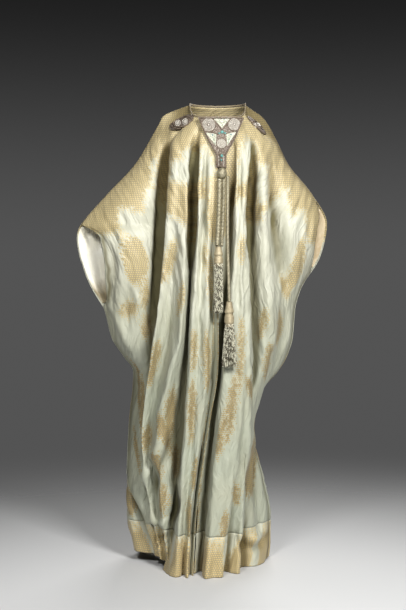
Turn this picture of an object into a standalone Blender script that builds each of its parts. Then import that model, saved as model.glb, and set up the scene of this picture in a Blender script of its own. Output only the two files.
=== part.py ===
"""Floor-length evening coat in silk brocade, cut in one with its wide sleeves and shown as worn.

The coat faces -Y and +Z is up. The origin is the middle of the neck opening, where the wearer's
neck and shoulders carry it. Right and left are the wearer's, so right is towards -X.
Heights in the tables are above the floor that the hem reaches.
"""

import itertools
import math
from collections import namedtuple

import bmesh
import bpy
import numpy as np
from mathutils import Matrix, Vector
from mathutils.bvhtree import BVHTree

# Driving sizes of the coat, in metres
NECK_HEIGHT = 1.43
CLOTH = 0.002
SEAM_GAP = 0.0003
HEM_BAND = 0.12
HEM_SEAM = 0.0009
BACK_SEAM = 0.0012
NECK_FRONT = 0.10
NECK_FRONT_DROP = 0.050
NECK_FRONT_ROUND = 2.4
NECK_FORWARD_ROUND = 0.7
NECK_BACK_RISE = -0.002
FRONT_PARTING = 0.0015
CUFF_MOUTH = 0.045
CUFF_MOUTH_BACK = 0.29
CUFF_MOUTH_SHARE = 1 / 6
VENT_TOP = 0.27
VENT_UNDERLAP = 0.022
VENT_UNDERLAP_FROM = 0.03
VENT_FLATTEN = 0.28
VENT_FORWARD = 0.07
WING_BULGE = 0.05
WING_BULGE_SHARE = 0.22
BODY_REACH = 0.27
BACK_FOLDS = 6
BACK_FOLD_DEPTH = 0.024
BACK_FOLD_PHASE = 0.6
BACK_LIFT = 0.03
BACK_LIFT_SHARE = 1 / 3
BACK_FALL_HEIGHTS = (0.0, 0.5, 1.1, NECK_HEIGHT)
BACK_FALL_SHARES = (1.0, 0.62, 0.25, 0.0)
FACING_WIDTH = 0.12
FACING_FROM = 0.010
FACING_GAP = 0.0006
FACING_INSET = 0.003
BINDING_WIDTH = 0.006
BINDING_THICK = 0.004

# How finely the solids follow the cloth
ROW_STEP = 0.075
BAND_ROWS = 3
SPAN_STEPS = 2
WING_SPANS = 3
BACK_COLUMNS = 30
TURN_COLUMNS = 4
TURN_SHARE = 0.09
SHARE_STEP = 0.001
ROW_LEAST = 0.02
NECK_BLEND = 1.24
LIFT_REACH = 0.26

# The outline of the coat, one row for each level section, from the neck point to the floor.
# x and y place the right and left edges, cuff_* and vent say how far the front's edge stands back
# from them, back is the depth of the back behind the edges, and side the fullness of its wings.
Section = namedtuple(
    "Section", "height x_right y_right x_left y_left cuff_right cuff_left vent back side"
)
SECTIONS = (
    Section(1.430, -0.088, 0.000, 0.085, 0.000, 0.000, 0.000, 0.000, 0.062, 0.062),
    Section(1.412, -0.140, 0.003, 0.112, 0.005, 0.000, 0.000, 0.000, 0.070, 0.040),
    Section(1.396, -0.172, 0.005, 0.136, 0.008, 0.000, 0.000, 0.000, 0.078, 0.030),
    Section(1.370, -0.186, 0.005, 0.157, 0.010, 0.000, 0.000, 0.000, 0.086, 0.028),
    Section(1.324, -0.212, 0.005, 0.182, 0.010, 0.000, 0.000, 0.000, 0.096, 0.028),
    Section(1.248, -0.258, 0.000, 0.220, 0.012, 0.000, 0.000, 0.000, 0.114, 0.030),
    Section(1.148, -0.349, -0.020, 0.299, 0.017, 0.000, 0.000, 0.000, 0.130, 0.040),
    Section(1.060, -0.424, -0.036, 0.344, 0.020, 0.000, 0.030, 0.000, 0.140, 0.050),
    Section(1.040, -0.436, -0.038, 0.343, 0.020, 0.045, 0.034, 0.000, 0.141, 0.050),
    Section(1.015, -0.441, -0.041, 0.339, 0.020, 0.078, 0.034, 0.000, 0.142, 0.050),
    Section(0.960, -0.433, -0.045, 0.324, 0.020, 0.080, 0.024, 0.000, 0.145, 0.050),
    Section(0.930, -0.423, -0.045, 0.309, 0.019, 0.074, 0.014, 0.000, 0.146, 0.050),
    Section(0.900, -0.413, -0.044, 0.288, 0.018, 0.064, 0.000, 0.000, 0.147, 0.050),
    Section(0.860, -0.395, -0.041, 0.263, 0.016, 0.048, 0.000, 0.000, 0.149, 0.050),
    Section(0.825, -0.374, -0.038, 0.250, 0.014, 0.028, 0.000, 0.000, 0.150, 0.050),
    Section(0.796, -0.356, -0.035, 0.243, 0.012, 0.000, 0.000, 0.000, 0.150, 0.050),
    Section(0.700, -0.331, -0.025, 0.234, 0.008, 0.000, 0.000, 0.000, 0.155, 0.055),
    Section(0.645, -0.297, -0.012, 0.217, 0.005, 0.000, 0.000, 0.000, 0.158, 0.070),
    Section(0.595, -0.266, -0.005, 0.188, 0.000, 0.000, 0.000, 0.000, 0.160, 0.110),
    Section(0.540, -0.268, 0.000, 0.140, 0.000, 0.000, 0.000, 0.000, 0.162, 0.140),
    Section(0.475, -0.276, 0.000, 0.105, -0.005, 0.000, 0.000, 0.000, 0.166, 0.160),
    Section(0.400, -0.282, 0.000, 0.107, -0.005, 0.000, 0.000, 0.000, 0.170, 0.170),
    Section(0.255, -0.287, -0.010, 0.142, -0.005, 0.000, 0.000, 0.004, 0.182, 0.182),
    Section(0.129, -0.286, -0.018, 0.164, 0.000, 0.000, 0.000, 0.058, 0.196, 0.196),
    Section(0.050, -0.271, -0.022, 0.163, 0.006, 0.000, 0.000, 0.066, 0.208, 0.208),
    Section(0.000, -0.262, -0.025, 0.158, 0.010, 0.000, 0.000, 0.066, 0.216, 0.216),
)

# The folds that fall down each front, one row for each ridge or trough, from the sleeve to the
# front edge, in millimetres. x and y are given at five heights, and lift raises the hem off the
# floor.
MILLIMETRE = 0.001
FOLD_HEIGHTS = (1.30, 1.06, 0.76, 0.40, 0.0)
Fold = namedtuple(
    "Fold",
    "name x_yoke x_chest x_hip x_knee x_hem y_yoke y_chest y_hip y_knee y_hem lift",
)
FOLDS_RIGHT = (
    Fold("sleeve_trough", -165, -178, -214, -246, -186, -45, -60, -60, -62, -105, 30),
    Fold("shoulder_ridge", -150, -164, -187, -234, -176, -80, -150, -150, -110, -125, 26),
    Fold("shoulder_dip", -124, -128, -150, -210, -166, -106, -154, -122, -88, -118, 20),
    Fold("breast_ridge", -90, -99, -111, -186, -152, -118, -174, -184, -152, -158, 10),
    Fold("breast_trough", -71, -79, -90, -114, -162, -106, -112, -112, -108, -150, 4),
    Fold("inner_ridge", -56, -58, -77, -98, -124, -125, -172, -192, -196, -240, 0),
    Fold("inner_dip", -38, -46, -65, -83, -103, -124, -152, -180, -184, -208, 0),
    Fold("edge_ridge", -23, -30, -44, -68, -89, -127, -172, -194, -196, -246, 0),
    Fold("edge_trough", -12, -16, -26, -56, -80, -127, -164, -160, -142, -200, 0),
    Fold("front_edge", -2, -5, -13, -45, -71, -129, -174, -188, -178, -224, 0),
)
FOLDS_LEFT = (
    Fold("sleeve_trough", 159, 172, 215, 104, 146, -55, -72, -40, -30, -50, 0),
    Fold("shoulder_ridge", 131, 139, 147, 94, 116, -82, -134, -130, -78, -105, 0),
    Fold("breast_trough", 98, 96, 97, 84, 72, -98, -94, -100, -104, -118, 0),
    Fold("breast_ridge", 90, 84, 79, 68, 56, -118, -162, -182, -172, -200, 0),
    Fold("hem_trough", 84, 79, 72, 58, 18, -121, -166, -184, -176, -170, 0),
    Fold("inner_ridge", 78, 74, 64, 43, 4, -123, -170, -192, -198, -242, 0),
    Fold("inner_dip", 66, 66, 52, 24, -16, -124, -166, -190, -202, -244, 0),
    Fold("edge_ridge", 53, 56, 34, 2, -34, -126, -174, -196, -204, -256, 0),
    Fold("edge_trough", 34, 36, 21, -22, -56, -119, -120, -126, -126, -164, 0),
    Fold("front_edge", 1, -8, -16, -48, -74, -118, -150, -164, -156, -196, 0),
)

# Sewn ornaments: where each lies, how it is turned, its size, and its raised rosettes.
# A rosette's a and b run across and along the ornament, from -1 to 1, and radius is in metres.
Rosette = namedtuple("Rosette", "a b radius rise")
PLASTRON_WIDTH = 0.142
PLASTRON_HEIGHT = 0.116
PLASTRON_TAB = 0.032
PLASTRON_TAB_LENGTH = 0.040
PLASTRON_TOP = 1.383
PLASTRON_X = 0.008
PLASTRON_DEPTH = 0.12
PLASTRON_THICK = 0.0025
PLASTRON_STEPS = 12
PLASTRON_CURVE = 0.22
PLASTRON_ROSETTES = (
    Rosette(-0.62, 0.20, 0.021, 0.0028),
    Rosette(0.62, 0.20, 0.021, 0.0028),
    Rosette(0.0, 0.58, 0.018, 0.0028),
)
LAY_STEPS = 4
LAY_GAP = 0.0006
LAY_REACH = 0.07
LAY_PULLS = 25
LAY_FROM = 0.5
RIM_RISE = 0.0016
RIM_SHARE = 0.16
OVAL_RINGS = 3
OVAL_THICK = 0.0025
Oval = namedtuple("Oval", "name x height length width turn_deg")
OVALS = (
    Oval("shoulder_ornament_right", -0.110, 1.369, 0.092, 0.046, -6.0),
    Oval("shoulder_ornament_left", 0.116, 1.362, 0.082, 0.040, -22.0),
)
OVAL_DOME = 0.0030

# The knot, the cords that hang from it and the tassels on their ends
KNOT_RADIUS = 0.015
KNOT_HEIGHT = 0.036
KNOT_AT = (0.010, -0.1582, 1.2090)
KNOT_SIDES = 14
KNOT_RINGS = 8
KNOT_CUT = 0.08
Cord = namedtuple("Cord", "name diameter route")
CORDS = (
    Cord(
        "cord_right_outer",
        0.014,
        (
            (0.0028, -0.1640, 1.1916),
            (0.0026, -0.1715, 1.1600),
            (0.0010, -0.1825, 1.1100),
            (-0.0010, -0.1890, 1.0600),
            (-0.0030, -0.1955, 1.0200),
            (-0.0045, -0.2045, 0.9916),
        ),
    ),
    Cord(
        "cord_right_inner",
        0.011,
        (
            (0.0157, -0.1645, 1.1916),
            (0.0155, -0.1725, 1.1600),
            (0.0140, -0.1835, 1.1100),
            (0.0120, -0.1905, 1.0600),
            (0.0100, -0.1968, 1.0200),
            (0.0086, -0.2055, 0.9909),
        ),
    ),
    Cord(
        "cord_left",
        0.010,
        (
            (0.0271, -0.1640, 1.2000),
            (0.0272, -0.1745, 1.1600),
            (0.0265, -0.1875, 1.1000),
            (0.0265, -0.1970, 1.0200),
            (0.0280, -0.2035, 0.9400),
            (0.0303, -0.2110, 0.8700),
            (0.0312, -0.2165, 0.8260),
        ),
    ),
)
CORD_BEVEL = 2
CORD_STEP = 2.6
CORD_FINE = 12

# A tassel's turned head is a profile of radius and drop, in shares of its size.
HeadRing = namedtuple("HeadRing", "radius drop")
HEAD_PROFILE = (
    HeadRing(0.62, 0.00),
    HeadRing(0.66, 0.10),
    HeadRing(0.80, 0.26),
    HeadRing(0.96, 0.40),
    HeadRing(0.78, 0.50),
    HeadRing(1.00, 0.62),
    HeadRing(1.00, 0.80),
    HeadRing(0.84, 0.90),
    HeadRing(0.92, 1.00),
)
HEAD_SIDES = 14
Tassel = namedtuple(
    "Tassel", "name x y top head_radius head_length skirt_length flare flare_deep rings"
)
TASSELS = (
    Tassel("tassel_right", -0.0010, -0.2050, 0.9890, 0.0145, 0.058, 0.142, 1.05, 1.0, (1, 6, 12)),
    Tassel("tassel_left", 0.0312, -0.2170, 0.8250, 0.0145, 0.074, 0.122, 1.75, 1.0, (1, 6, 12)),
)
STRAND_SIDES = 3
STRAND_RADIUS = 0.0022
STRAND_ROOT = 0.012
STRAND_STEPS = 2
STRAND_SPREAD = 0.84
FLARE_CURVE = 0.8

# Colours of the plain finishes: linear red, green and blue, roughness, metallic
Finish = namedtuple("Finish", "colour roughness metallic")
FINISHES = {
    "celadon_silk": Finish((0.62, 0.66, 0.52), 0.45, 0.0),
    "gold_brocade": Finish((0.52, 0.40, 0.20), 0.42, 0.2),
    "ivory_satin": Finish((0.85, 0.74, 0.52), 0.30, 0.0),
    "beadwork": Finish((0.30, 0.23, 0.17), 0.40, 0.3),
    "metal_cord": Finish((0.48, 0.40, 0.26), 0.38, 0.4),
}


def smooth_curve(places, values):
    """A function through the values that never overshoots them, with places in rising order."""
    x = np.array(places, float)
    y = np.array(values, float)
    step = np.diff(x)
    slope = np.diff(y) / step
    tangent = np.zeros_like(y)
    tangent[0], tangent[-1] = slope[0], slope[-1]
    turning = slope[1:] * slope[:-1] <= 0
    safe = np.where(turning, 1.0, slope[1:]), np.where(turning, 1.0, slope[:-1])
    tangent[1:-1] = np.where(turning, 0.0, 2 / (1 / safe[0] + 1 / safe[1]))

    def at(place):
        place = float(np.clip(place, x[0], x[-1]))
        i = min(int(np.searchsorted(x, place, side="right")) - 1, len(step) - 1)
        t = (place - x[i]) / step[i]
        start = (1 + 2 * t) * (1 - t) ** 2 * y[i] + t * (1 - t) ** 2 * step[i] * tangent[i]
        end = t * t * (3 - 2 * t) * y[i + 1] + t * t * (t - 1) * step[i] * tangent[i + 1]
        return start + end

    return at


def section_curves():
    """One smooth curve over the height for each column of the sections."""
    rows = sorted(SECTIONS, key=lambda row: row.height)
    heights = [row.height for row in rows]
    columns = Section._fields[1:]
    return {c: smooth_curve(heights, [getattr(row, c) for row in rows]) for c in columns}


OUTLINE = section_curves()


def outline(column, height):
    """The value of one of the sections' columns at a height."""
    return OUTLINE[column](height)


def neck_point(share, side):
    """A point of the front neckline: share 0 is the neck point, 1 the middle of the front."""
    angle = share * math.pi / 2
    wide = outline("x_right" if side == "right" else "x_left", NECK_HEIGHT)
    middle = PLASTRON_X + (-FRONT_PARTING if side == "right" else FRONT_PARTING)
    x = middle + (wide - middle) * math.cos(angle)
    round_neck = math.sin(angle)
    drop = NECK_FRONT_DROP * (1 - (1 - round_neck) ** NECK_FRONT_ROUND)
    return x, -NECK_FRONT * round_neck**NECK_FORWARD_ROUND, NECK_HEIGHT - drop


def fold_curves(folds, side):
    """For each fold, smooth curves of its x and y over the height, up to its place at the neck."""
    heights = [*reversed(FOLD_HEIGHTS), NECK_HEIGHT]
    curves = []
    for i, fold in enumerate(folds):
        share = (WING_SPANS + i) / (WING_SPANS + len(folds) - 1)
        x_neck, y_neck, z_neck = neck_point(share, side)
        across = np.array([fold.x_hem, fold.x_knee, fold.x_hip, fold.x_chest, fold.x_yoke])
        depth = np.array([fold.y_hem, fold.y_knee, fold.y_hip, fold.y_chest, fold.y_yoke])
        x_curve = smooth_curve(heights, [*across * MILLIMETRE, x_neck])
        y_curve = smooth_curve(heights, [*depth * MILLIMETRE, y_neck])
        curves.append((x_curve, y_curve, z_neck, fold.lift * MILLIMETRE))
    return curves


def lifted(height, neck_height, lift):
    """The true height of a section's point, tilted up to the neckline and clear of the floor."""
    if height > NECK_BLEND:
        rise = (height - NECK_BLEND) / (NECK_HEIGHT - NECK_BLEND)
        return NECK_BLEND + rise * (neck_height - NECK_BLEND)
    drop = max(0.0, 1.0 - height / LIFT_REACH)
    return height + lift * drop * drop


def front_edge_of_side(side, height):
    """Where the front meets the side at a height: on the outline, or set back at cuff and vent."""
    inward = 1.0 if side == "right" else -1.0
    cuff = outline("cuff_" + side, height)
    vent = outline("vent", height) if side == "right" else 0.0
    widest = max(getattr(row, "cuff_" + side) for row in SECTIONS)
    widest_vent = max(row.vent for row in SECTIONS)
    x = outline("x_" + side, height) + inward * (cuff + vent)
    forward = CUFF_MOUTH * cuff / widest + VENT_FORWARD * math.sqrt(max(0.0, vent) / widest_vent)
    return x, outline("y_" + side, height) - forward


def front_section(curves, side, height):
    """The key points of a front at one height, from the side to the front edge."""
    x_edge, y_edge = front_edge_of_side(side, height)
    x_fold, y_fold = curves[0][0](height), curves[0][1](height)
    bulge = min(WING_BULGE, WING_BULGE_SHARE * abs(x_fold - x_edge))
    points = []
    for k in range(WING_SPANS):
        t = k / WING_SPANS
        x_neck, y_neck, z_neck = neck_point(k / (WING_SPANS + len(curves) - 1), side)
        x = x_edge + (x_fold - x_edge) * t
        y = y_edge + (y_fold - y_edge) * t - bulge * math.sin(math.pi * t)
        near = max(0.0, (height - FOLD_HEIGHTS[0]) / (NECK_HEIGHT - FOLD_HEIGHTS[0])) ** 2
        x, y = x + (x_neck - x) * near * (k > 0), y + (y_neck - y) * near * (k > 0)
        points.append((x, y, lifted(height, z_neck, curves[0][3])))
    for across, depth, neck_height, lift in curves:
        points.append((across(height), depth(height), lifted(height, neck_height, lift)))
    return np.array(points)


def through(points, steps):
    """Points along a smooth curve through the given ones, each span cut into steps."""
    ends = np.vstack([2 * points[0] - points[1], points, 2 * points[-1] - points[-2]])
    found = []
    for i in range(1, len(ends) - 2):
        a, b, c, d = ends[i - 1 : i + 3]
        for k in range(steps):
            t = k / steps
            curve = 2 * b + (c - a) * t + (2 * a - 5 * b + 4 * c - d) * t**2
            found.append(0.5 * (curve + (3 * b - a - 3 * c + d) * t**3))
    found.append(points[-1])
    return np.array(found)


def row_heights(top, bottom, count):
    """Even heights from top to bottom."""
    return [top - (top - bottom) * k / count for k in range(count + 1)]


def front_grid(side, heights):
    """The middle surface of a front as rows of points, from the side to the front edge."""
    folds = FOLDS_RIGHT if side == "right" else FOLDS_LEFT
    curves = fold_curves(folds, side)
    grid = np.array([through(front_section(curves, side, h), SPAN_STEPS) for h in heights])
    return part_seam(grid, 0, -1.0)


def back_point(share, height):
    """A point of the back at a height: share 0 is the right side, 1 the left, below 0 the vent."""
    x_right, x_left = outline("x_right", height), outline("x_left", height)
    middle, half = (x_right + x_left) / 2, (x_left - x_right) / 2
    blend = 0.5 - 0.5 * math.cos(math.pi * max(share, 0.0))
    y_edge = (1 - blend) * outline("y_right", height) + blend * outline("y_left", height)
    x = middle - half * math.cos(math.pi * share)
    round_side = math.sin(math.pi * share)
    if share < 0:
        return x, y_edge + VENT_FLATTEN * outline("side", height) * round_side
    side, deep = outline("side", height), outline("back", height)
    bell = max(0.0, math.cos(min(1.0, abs(x - middle) / BODY_REACH) * math.pi / 2)) ** 2
    return x, y_edge + side * round_side + (deep - side) * bell


def vent_share(height):
    """How far past the right side the back runs on under the front, as a share below 0."""
    vent = outline("vent", height)
    if height > VENT_TOP or vent <= 0:
        return 0.0
    half = (outline("x_left", height) - outline("x_right", height)) / 2
    reach = vent + VENT_UNDERLAP * min(1.0, vent / VENT_UNDERLAP_FROM)
    return -math.acos(1 - reach / half) / math.pi


def back_section(height):
    """The points of the back at one height, with its folds, from the right side to the left."""
    start = vent_share(height)
    turn = np.linspace(start, TURN_SHARE, TURN_COLUMNS + 1)
    shares = [*turn[:-1], *np.linspace(TURN_SHARE, 1.0, BACK_COLUMNS - TURN_COLUMNS + 1)]
    fall = smooth_curve(BACK_FALL_HEIGHTS, BACK_FALL_SHARES)(height)
    points = []
    for share in shares:
        x, y = back_point(share, height)
        ahead, behind = back_point(share + SHARE_STEP, height), back_point(share - SHARE_STEP, height)
        along = Vector((ahead[0] - behind[0], ahead[1] - behind[1])).normalized()
        wave = math.cos(2 * math.pi * BACK_FOLDS * share + BACK_FOLD_PHASE)
        taper = max(0.0, math.sin(math.pi * min(max(share, 0.0), 1.0))) ** 0.5
        out = BACK_FOLD_DEPTH * fall * wave * taper
        rise = NECK_BACK_RISE * max(0.0, math.sin(math.pi * share))
        lift = BACK_LIFT * max(0.0, 1 - max(share, 0.0) / BACK_LIFT_SHARE)
        z = lifted(height, NECK_HEIGHT + rise, lift)
        points.append((x - along.y * out, y + along.x * out, z))
    return np.array(points)


def back_grid(heights):
    """The middle surface of the back, parted from the fronts along both side seams."""
    grid = np.array([back_section(h) for h in heights])
    reach = np.linspace(0, 1, grid.shape[1])
    near_right = np.clip(1 - reach / CUFF_MOUTH_SHARE, 0, 1)
    for row, height in enumerate(heights):
        right, left = outline("cuff_right", height), outline("cuff_left", height)
        grid[row, :, 1] += CUFF_MOUTH_BACK * (right * near_right + left * near_right[::-1])
    return part_seam(part_seam(grid, 0, 1.0), -1, 1.0)


def normals_of(grid):
    """The unit normal at each point of a grid of points."""
    down = np.gradient(grid, axis=0)
    across = np.gradient(grid, axis=1)
    normal = np.cross(across, down)
    return normal / np.maximum(np.linalg.norm(normal, axis=2, keepdims=True), 1e-12)


def part_seam(grid, column, way):
    """The grid with one edge moved along Y, so that its wall clears the piece it is sewn to."""
    facing = np.abs(normals_of(grid)[:, column, 1])
    grid[:, column, 1] += way * (SEAM_GAP / 2 + CLOTH / 2 * facing)
    return grid


def finish(name):
    """The plain material of one finish, made once."""
    if name in bpy.data.materials:
        return bpy.data.materials[name]
    made = bpy.data.materials.new(name)
    made.use_nodes = True
    shader = made.node_tree.nodes["Principled BSDF"]
    shader.inputs["Base Color"].default_value = (*FINISHES[name].colour, 1.0)
    shader.inputs["Roughness"].default_value = FINISHES[name].roughness
    shader.inputs["Metallic"].default_value = FINISHES[name].metallic
    return made


def add_object(name, data, material):
    """A new object of the coat with its finish, under the empty that carries every piece."""
    made = bpy.data.objects.new(name, data)
    data.materials.append(finish(material))
    bpy.context.scene.collection.objects.link(made)
    made.parent = bpy.data.objects["coat"]
    return made


def framed(points):
    """Points given by their height above the floor, moved to the frame at the neck."""
    return np.asarray(points, float) - np.array([0.0, 0.0, NECK_HEIGHT])


def grid_mesh(name, grid, flip):
    """A smooth-shaded mesh of one grid of points, with its faces turned outwards."""
    rows, columns = grid.shape[:2]
    faces = []
    for r in range(rows - 1):
        for c in range(columns - 1):
            a = r * columns + c
            face = (a, a + columns, a + columns + 1, a + 1)
            faces.append(face[::-1] if flip else face)
    mesh = bpy.data.meshes.new(name)
    mesh.from_pydata([tuple(p) for p in framed(grid.reshape(-1, 3))], [], faces)
    mesh.shade_smooth()
    return mesh


def add_cloth(name, grid, material, flip=False):
    """A piece of cloth: its middle surface, thickened to a wall by a Solidify modifier."""
    made = add_object(name, grid_mesh(name, grid, flip), material)
    wall = made.modifiers.new("wall", "SOLIDIFY")
    wall.thickness = CLOTH
    wall.offset = 0.0
    return made


def panel_heights():
    """The rows of a main panel: its sections, with more where two lie far apart."""
    seam = HEM_BAND + HEM_SEAM / 2
    marks = [row.height for row in SECTIONS if row.height > seam + ROW_LEAST] + [seam]
    heights = marks[:1]
    for above, below in zip(marks, marks[1:]):
        heights += row_heights(above, below, math.ceil((above - below) / ROW_STEP))[1:]
    return heights


def band_heights():
    """The rows of a hem band, from its seam down to the floor."""
    return row_heights(HEM_BAND - HEM_SEAM / 2, 0.0, BAND_ROWS)


def add_panels():
    """Both fronts and the halves of the back, with the bands that are sewn along the hem."""
    for side in ("right", "left"):
        mirror = side == "left"
        add_cloth("front_" + side, front_grid(side, panel_heights()), "celadon_silk", mirror)
        add_cloth("hem_band_" + side, front_grid(side, band_heights()), "gold_brocade", mirror)
    back = back_grid(panel_heights())
    middle = back.shape[1] // 2
    right, left = back[:, : middle + 1].copy(), back[:, middle:].copy()
    right[:, -1, 0] -= BACK_SEAM / 2
    left[:, 0, 0] += BACK_SEAM / 2
    add_cloth("back_right", right, "celadon_silk", True)
    add_cloth("back_left", left, "celadon_silk", True)
    add_cloth("hem_band_back", back_grid(band_heights()), "gold_brocade", True)


def add_cuff_facing(side):
    """The satin facing inside the back of a sleeve's mouth, made from the back's own points."""
    heights = panel_heights()
    grid = back_grid(heights)
    inside = normals_of(grid)
    inside *= -np.sign(inside[..., 1].mean())
    rows = [k for k, h in enumerate(heights) if outline("cuff_" + side, h) > FACING_FROM]
    x_edge = outline("x_" + side, heights[rows[len(rows) // 2]])
    away = np.abs(grid[rows[len(rows) // 2], :, 0] - x_edge)
    columns = [k for k, d in enumerate(away) if FACING_INSET < d < FACING_WIDTH]
    piece = np.ix_(rows, columns)
    add_cloth("cuff_facing_" + side, (grid + inside * (CLOTH + FACING_GAP))[piece], "ivory_satin", True)


def add_neck_binding():
    """The narrow binding along the neck, from one front edge round the back to the other."""
    top = panel_heights()[:2]
    right, left, back = front_grid("right", top)[0], front_grid("left", top)[0], back_grid(top)[0]
    path = np.vstack([right[::-1], back[1:-1], left])
    path[:, 2] += CLOTH / 2 + SEAM_GAP + BINDING_WIDTH / 2
    along = np.gradient(path, axis=0)
    out = np.cross(along, (0.0, 0.0, 1.0))
    out /= np.linalg.norm(out, axis=1, keepdims=True)
    up = np.array([0.0, 0.0, BINDING_WIDTH / 2])
    half = out * BINDING_THICK / 2
    rings = np.stack([path + half + up, path - half + up, path - half - up, path + half - up], axis=1)
    add_object("neck_binding", ring_mesh("neck_binding", rings), "ivory_satin")


def ring_mesh(name, rings):
    """A closed tube through rings of points, with both ends filled."""
    count, sides = rings.shape[:2]
    made = bmesh.new()
    loops = [[made.verts.new(p) for p in framed(ring)] for ring in rings]
    for a, b in zip(loops, loops[1:]):
        for k in range(sides):
            made.faces.new((a[k], a[(k + 1) % sides], b[(k + 1) % sides], b[k]))
    made.faces.new(loops[0][::-1])
    made.faces.new(loops[-1])
    bmesh.ops.recalc_face_normals(made, faces=made.faces)
    mesh = bpy.data.meshes.new(name)
    made.to_mesh(mesh)
    made.free()
    return mesh


def cloth_tree():
    """The outer surfaces of both fronts and the back, to lay ornaments on."""
    bpy.context.view_layer.update()
    graph = bpy.context.evaluated_depsgraph_get()
    joined = bmesh.new()
    for name in ("front_right", "front_left", "back_right", "back_left", "neck_binding"):
        joined.from_mesh(bpy.data.objects[name].evaluated_get(graph).to_mesh())
    tree = BVHTree.FromBMesh(joined)
    joined.free()
    return tree


def between(table, steps):
    """A table of places with more put evenly between its rows and columns."""
    rows, columns = table.shape[:2]
    fine_rows = np.linspace(0, rows - 1, (rows - 1) * steps + 1)
    fine_columns = np.linspace(0, columns - 1, (columns - 1) * steps + 1)
    found = np.empty((len(fine_rows), len(fine_columns), 2))
    for axis in (0, 1):
        tall = [np.interp(fine_rows, range(rows), column) for column in table[..., axis].T]
        wide = [np.interp(fine_columns, range(columns), row) for row in np.array(tall).T]
        found[..., axis] = wide
    return found


def laid_on(tree, places, frame, thickness):
    """Heights of a plate drawn taut over the cloth, just clear of it at each of its places."""
    origin, right, up, normal = frame
    fine = between(places, LAY_STEPS)
    found = np.full(fine.shape[:2], np.nan)
    for index in np.ndindex(found.shape):
        a, b = fine[index]
        start = origin + right * a + up * b + normal * LAY_REACH
        hit = tree.ray_cast(start, -normal, 2 * LAY_REACH)[0]
        if hit is not None:
            found[index] = (hit - origin).dot(normal)
    lowest = np.nanmin(found)
    found = np.where(np.isnan(found), lowest, found)
    padded = np.pad(found, LAY_STEPS, mode="edge")
    need = np.empty(places.shape[:2])
    for r, c in np.ndindex(need.shape):
        top, left = r * LAY_STEPS, c * LAY_STEPS
        need[r, c] = padded[top : top + 2 * LAY_STEPS + 1, left : left + 2 * LAY_STEPS + 1].max()
    need += LAY_GAP + thickness / 2
    height = need.copy()
    for _ in range(LAY_PULLS):
        edge = np.pad(height, 1, mode="reflect", reflect_type="odd")
        mean = (edge[:-2, 1:-1] + edge[2:, 1:-1] + edge[1:-1, :-2] + edge[1:-1, 2:]) / 4
        height = np.maximum(need, mean)
    return height


def plate_mesh(name, loops, frame, thickness):
    """A closed plate from rows of (a, b, height, rise): rise lifts its outer face only."""
    origin, right, up, normal = frame
    made = bmesh.new()
    sheets = []
    for outer in (True, False):
        sheet = []
        for loop in loops:
            row = []
            for a, b, height, rise in loop:
                lift = height + (thickness / 2 + rise if outer else -thickness / 2)
                row.append(made.verts.new(origin + right * a + up * b + normal * lift))
            sheet.append(row)
        sheets.append(sheet)
    front, rear = sheets
    for r in range(len(loops) - 1):
        for c in range(len(loops[0]) - 1):
            ring = (r, c), (r + 1, c), (r + 1, c + 1), (r, c + 1)
            made.faces.new([front[i][j] for i, j in ring])
            made.faces.new([rear[i][j] for i, j in reversed(ring)])
    last_row, last = len(loops) - 1, len(loops[0]) - 1
    rim = [(0, c) for c in range(last)] + [(r, last) for r in range(last_row)]
    rim += [(last_row, c) for c in range(last, 0, -1)] + [(r, 0) for r in range(last_row, 0, -1)]
    for (i, j), (m, n) in zip(rim, rim[1:] + rim[:1]):
        made.faces.new((front[i][j], front[m][n], rear[m][n], rear[i][j]))
    bmesh.ops.recalc_face_normals(made, faces=made.faces)
    mesh = bpy.data.meshes.new(name)
    made.to_mesh(mesh)
    made.free()
    return mesh


def plastron_half_width(drop):
    """Half the plastron's width at a drop below its top edge: a long triangle with a tab."""
    if drop < PLASTRON_HEIGHT:
        full, tab = PLASTRON_WIDTH / 2, PLASTRON_TAB / 2
        share = drop / PLASTRON_HEIGHT
        return tab + (full - tab) * (1 - share) * (1 + PLASTRON_CURVE * share)
    return PLASTRON_TAB / 2


def add_plastron(tree):
    """The beaded plastron that closes the neck: a bent plate with a raised rim and rosettes."""
    frame = (
        Vector((PLASTRON_X, -PLASTRON_DEPTH, PLASTRON_TOP - NECK_HEIGHT)),
        Vector((1, 0, 0)),
        Vector((0, 0, -1)),
        Vector((0, -1, 0)),
    )
    length = PLASTRON_HEIGHT + PLASTRON_TAB_LENGTH
    shares = np.linspace(-1, 1, PLASTRON_STEPS + 1)
    drops = np.linspace(0, length, PLASTRON_STEPS + 1)
    places = np.array([[(s * plastron_half_width(d), d) for s in shares] for d in drops])
    heights = laid_on(tree, places, frame, PLASTRON_THICK)
    loops = []
    for row, drop in enumerate(drops):
        loop = []
        for column, share in enumerate(shares):
            a = places[row, column, 0]
            rise = RIM_RISE if abs(share) > 1 - RIM_SHARE or row == 0 else 0.0
            for rosette in PLASTRON_ROSETTES:
                middle = rosette.b * PLASTRON_HEIGHT
                across = rosette.a * plastron_half_width(middle)
                away = math.hypot(a - across, drop - middle) / rosette.radius
                rise = max(rise, rosette.rise * math.sqrt(max(0.0, 1 - away * away)))
            loop.append((a, drop, heights[row, column], rise))
        loops.append(loop)
    mesh = plate_mesh("plastron", loops, frame, PLASTRON_THICK)
    add_object("plastron", mesh, "beadwork")


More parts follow.
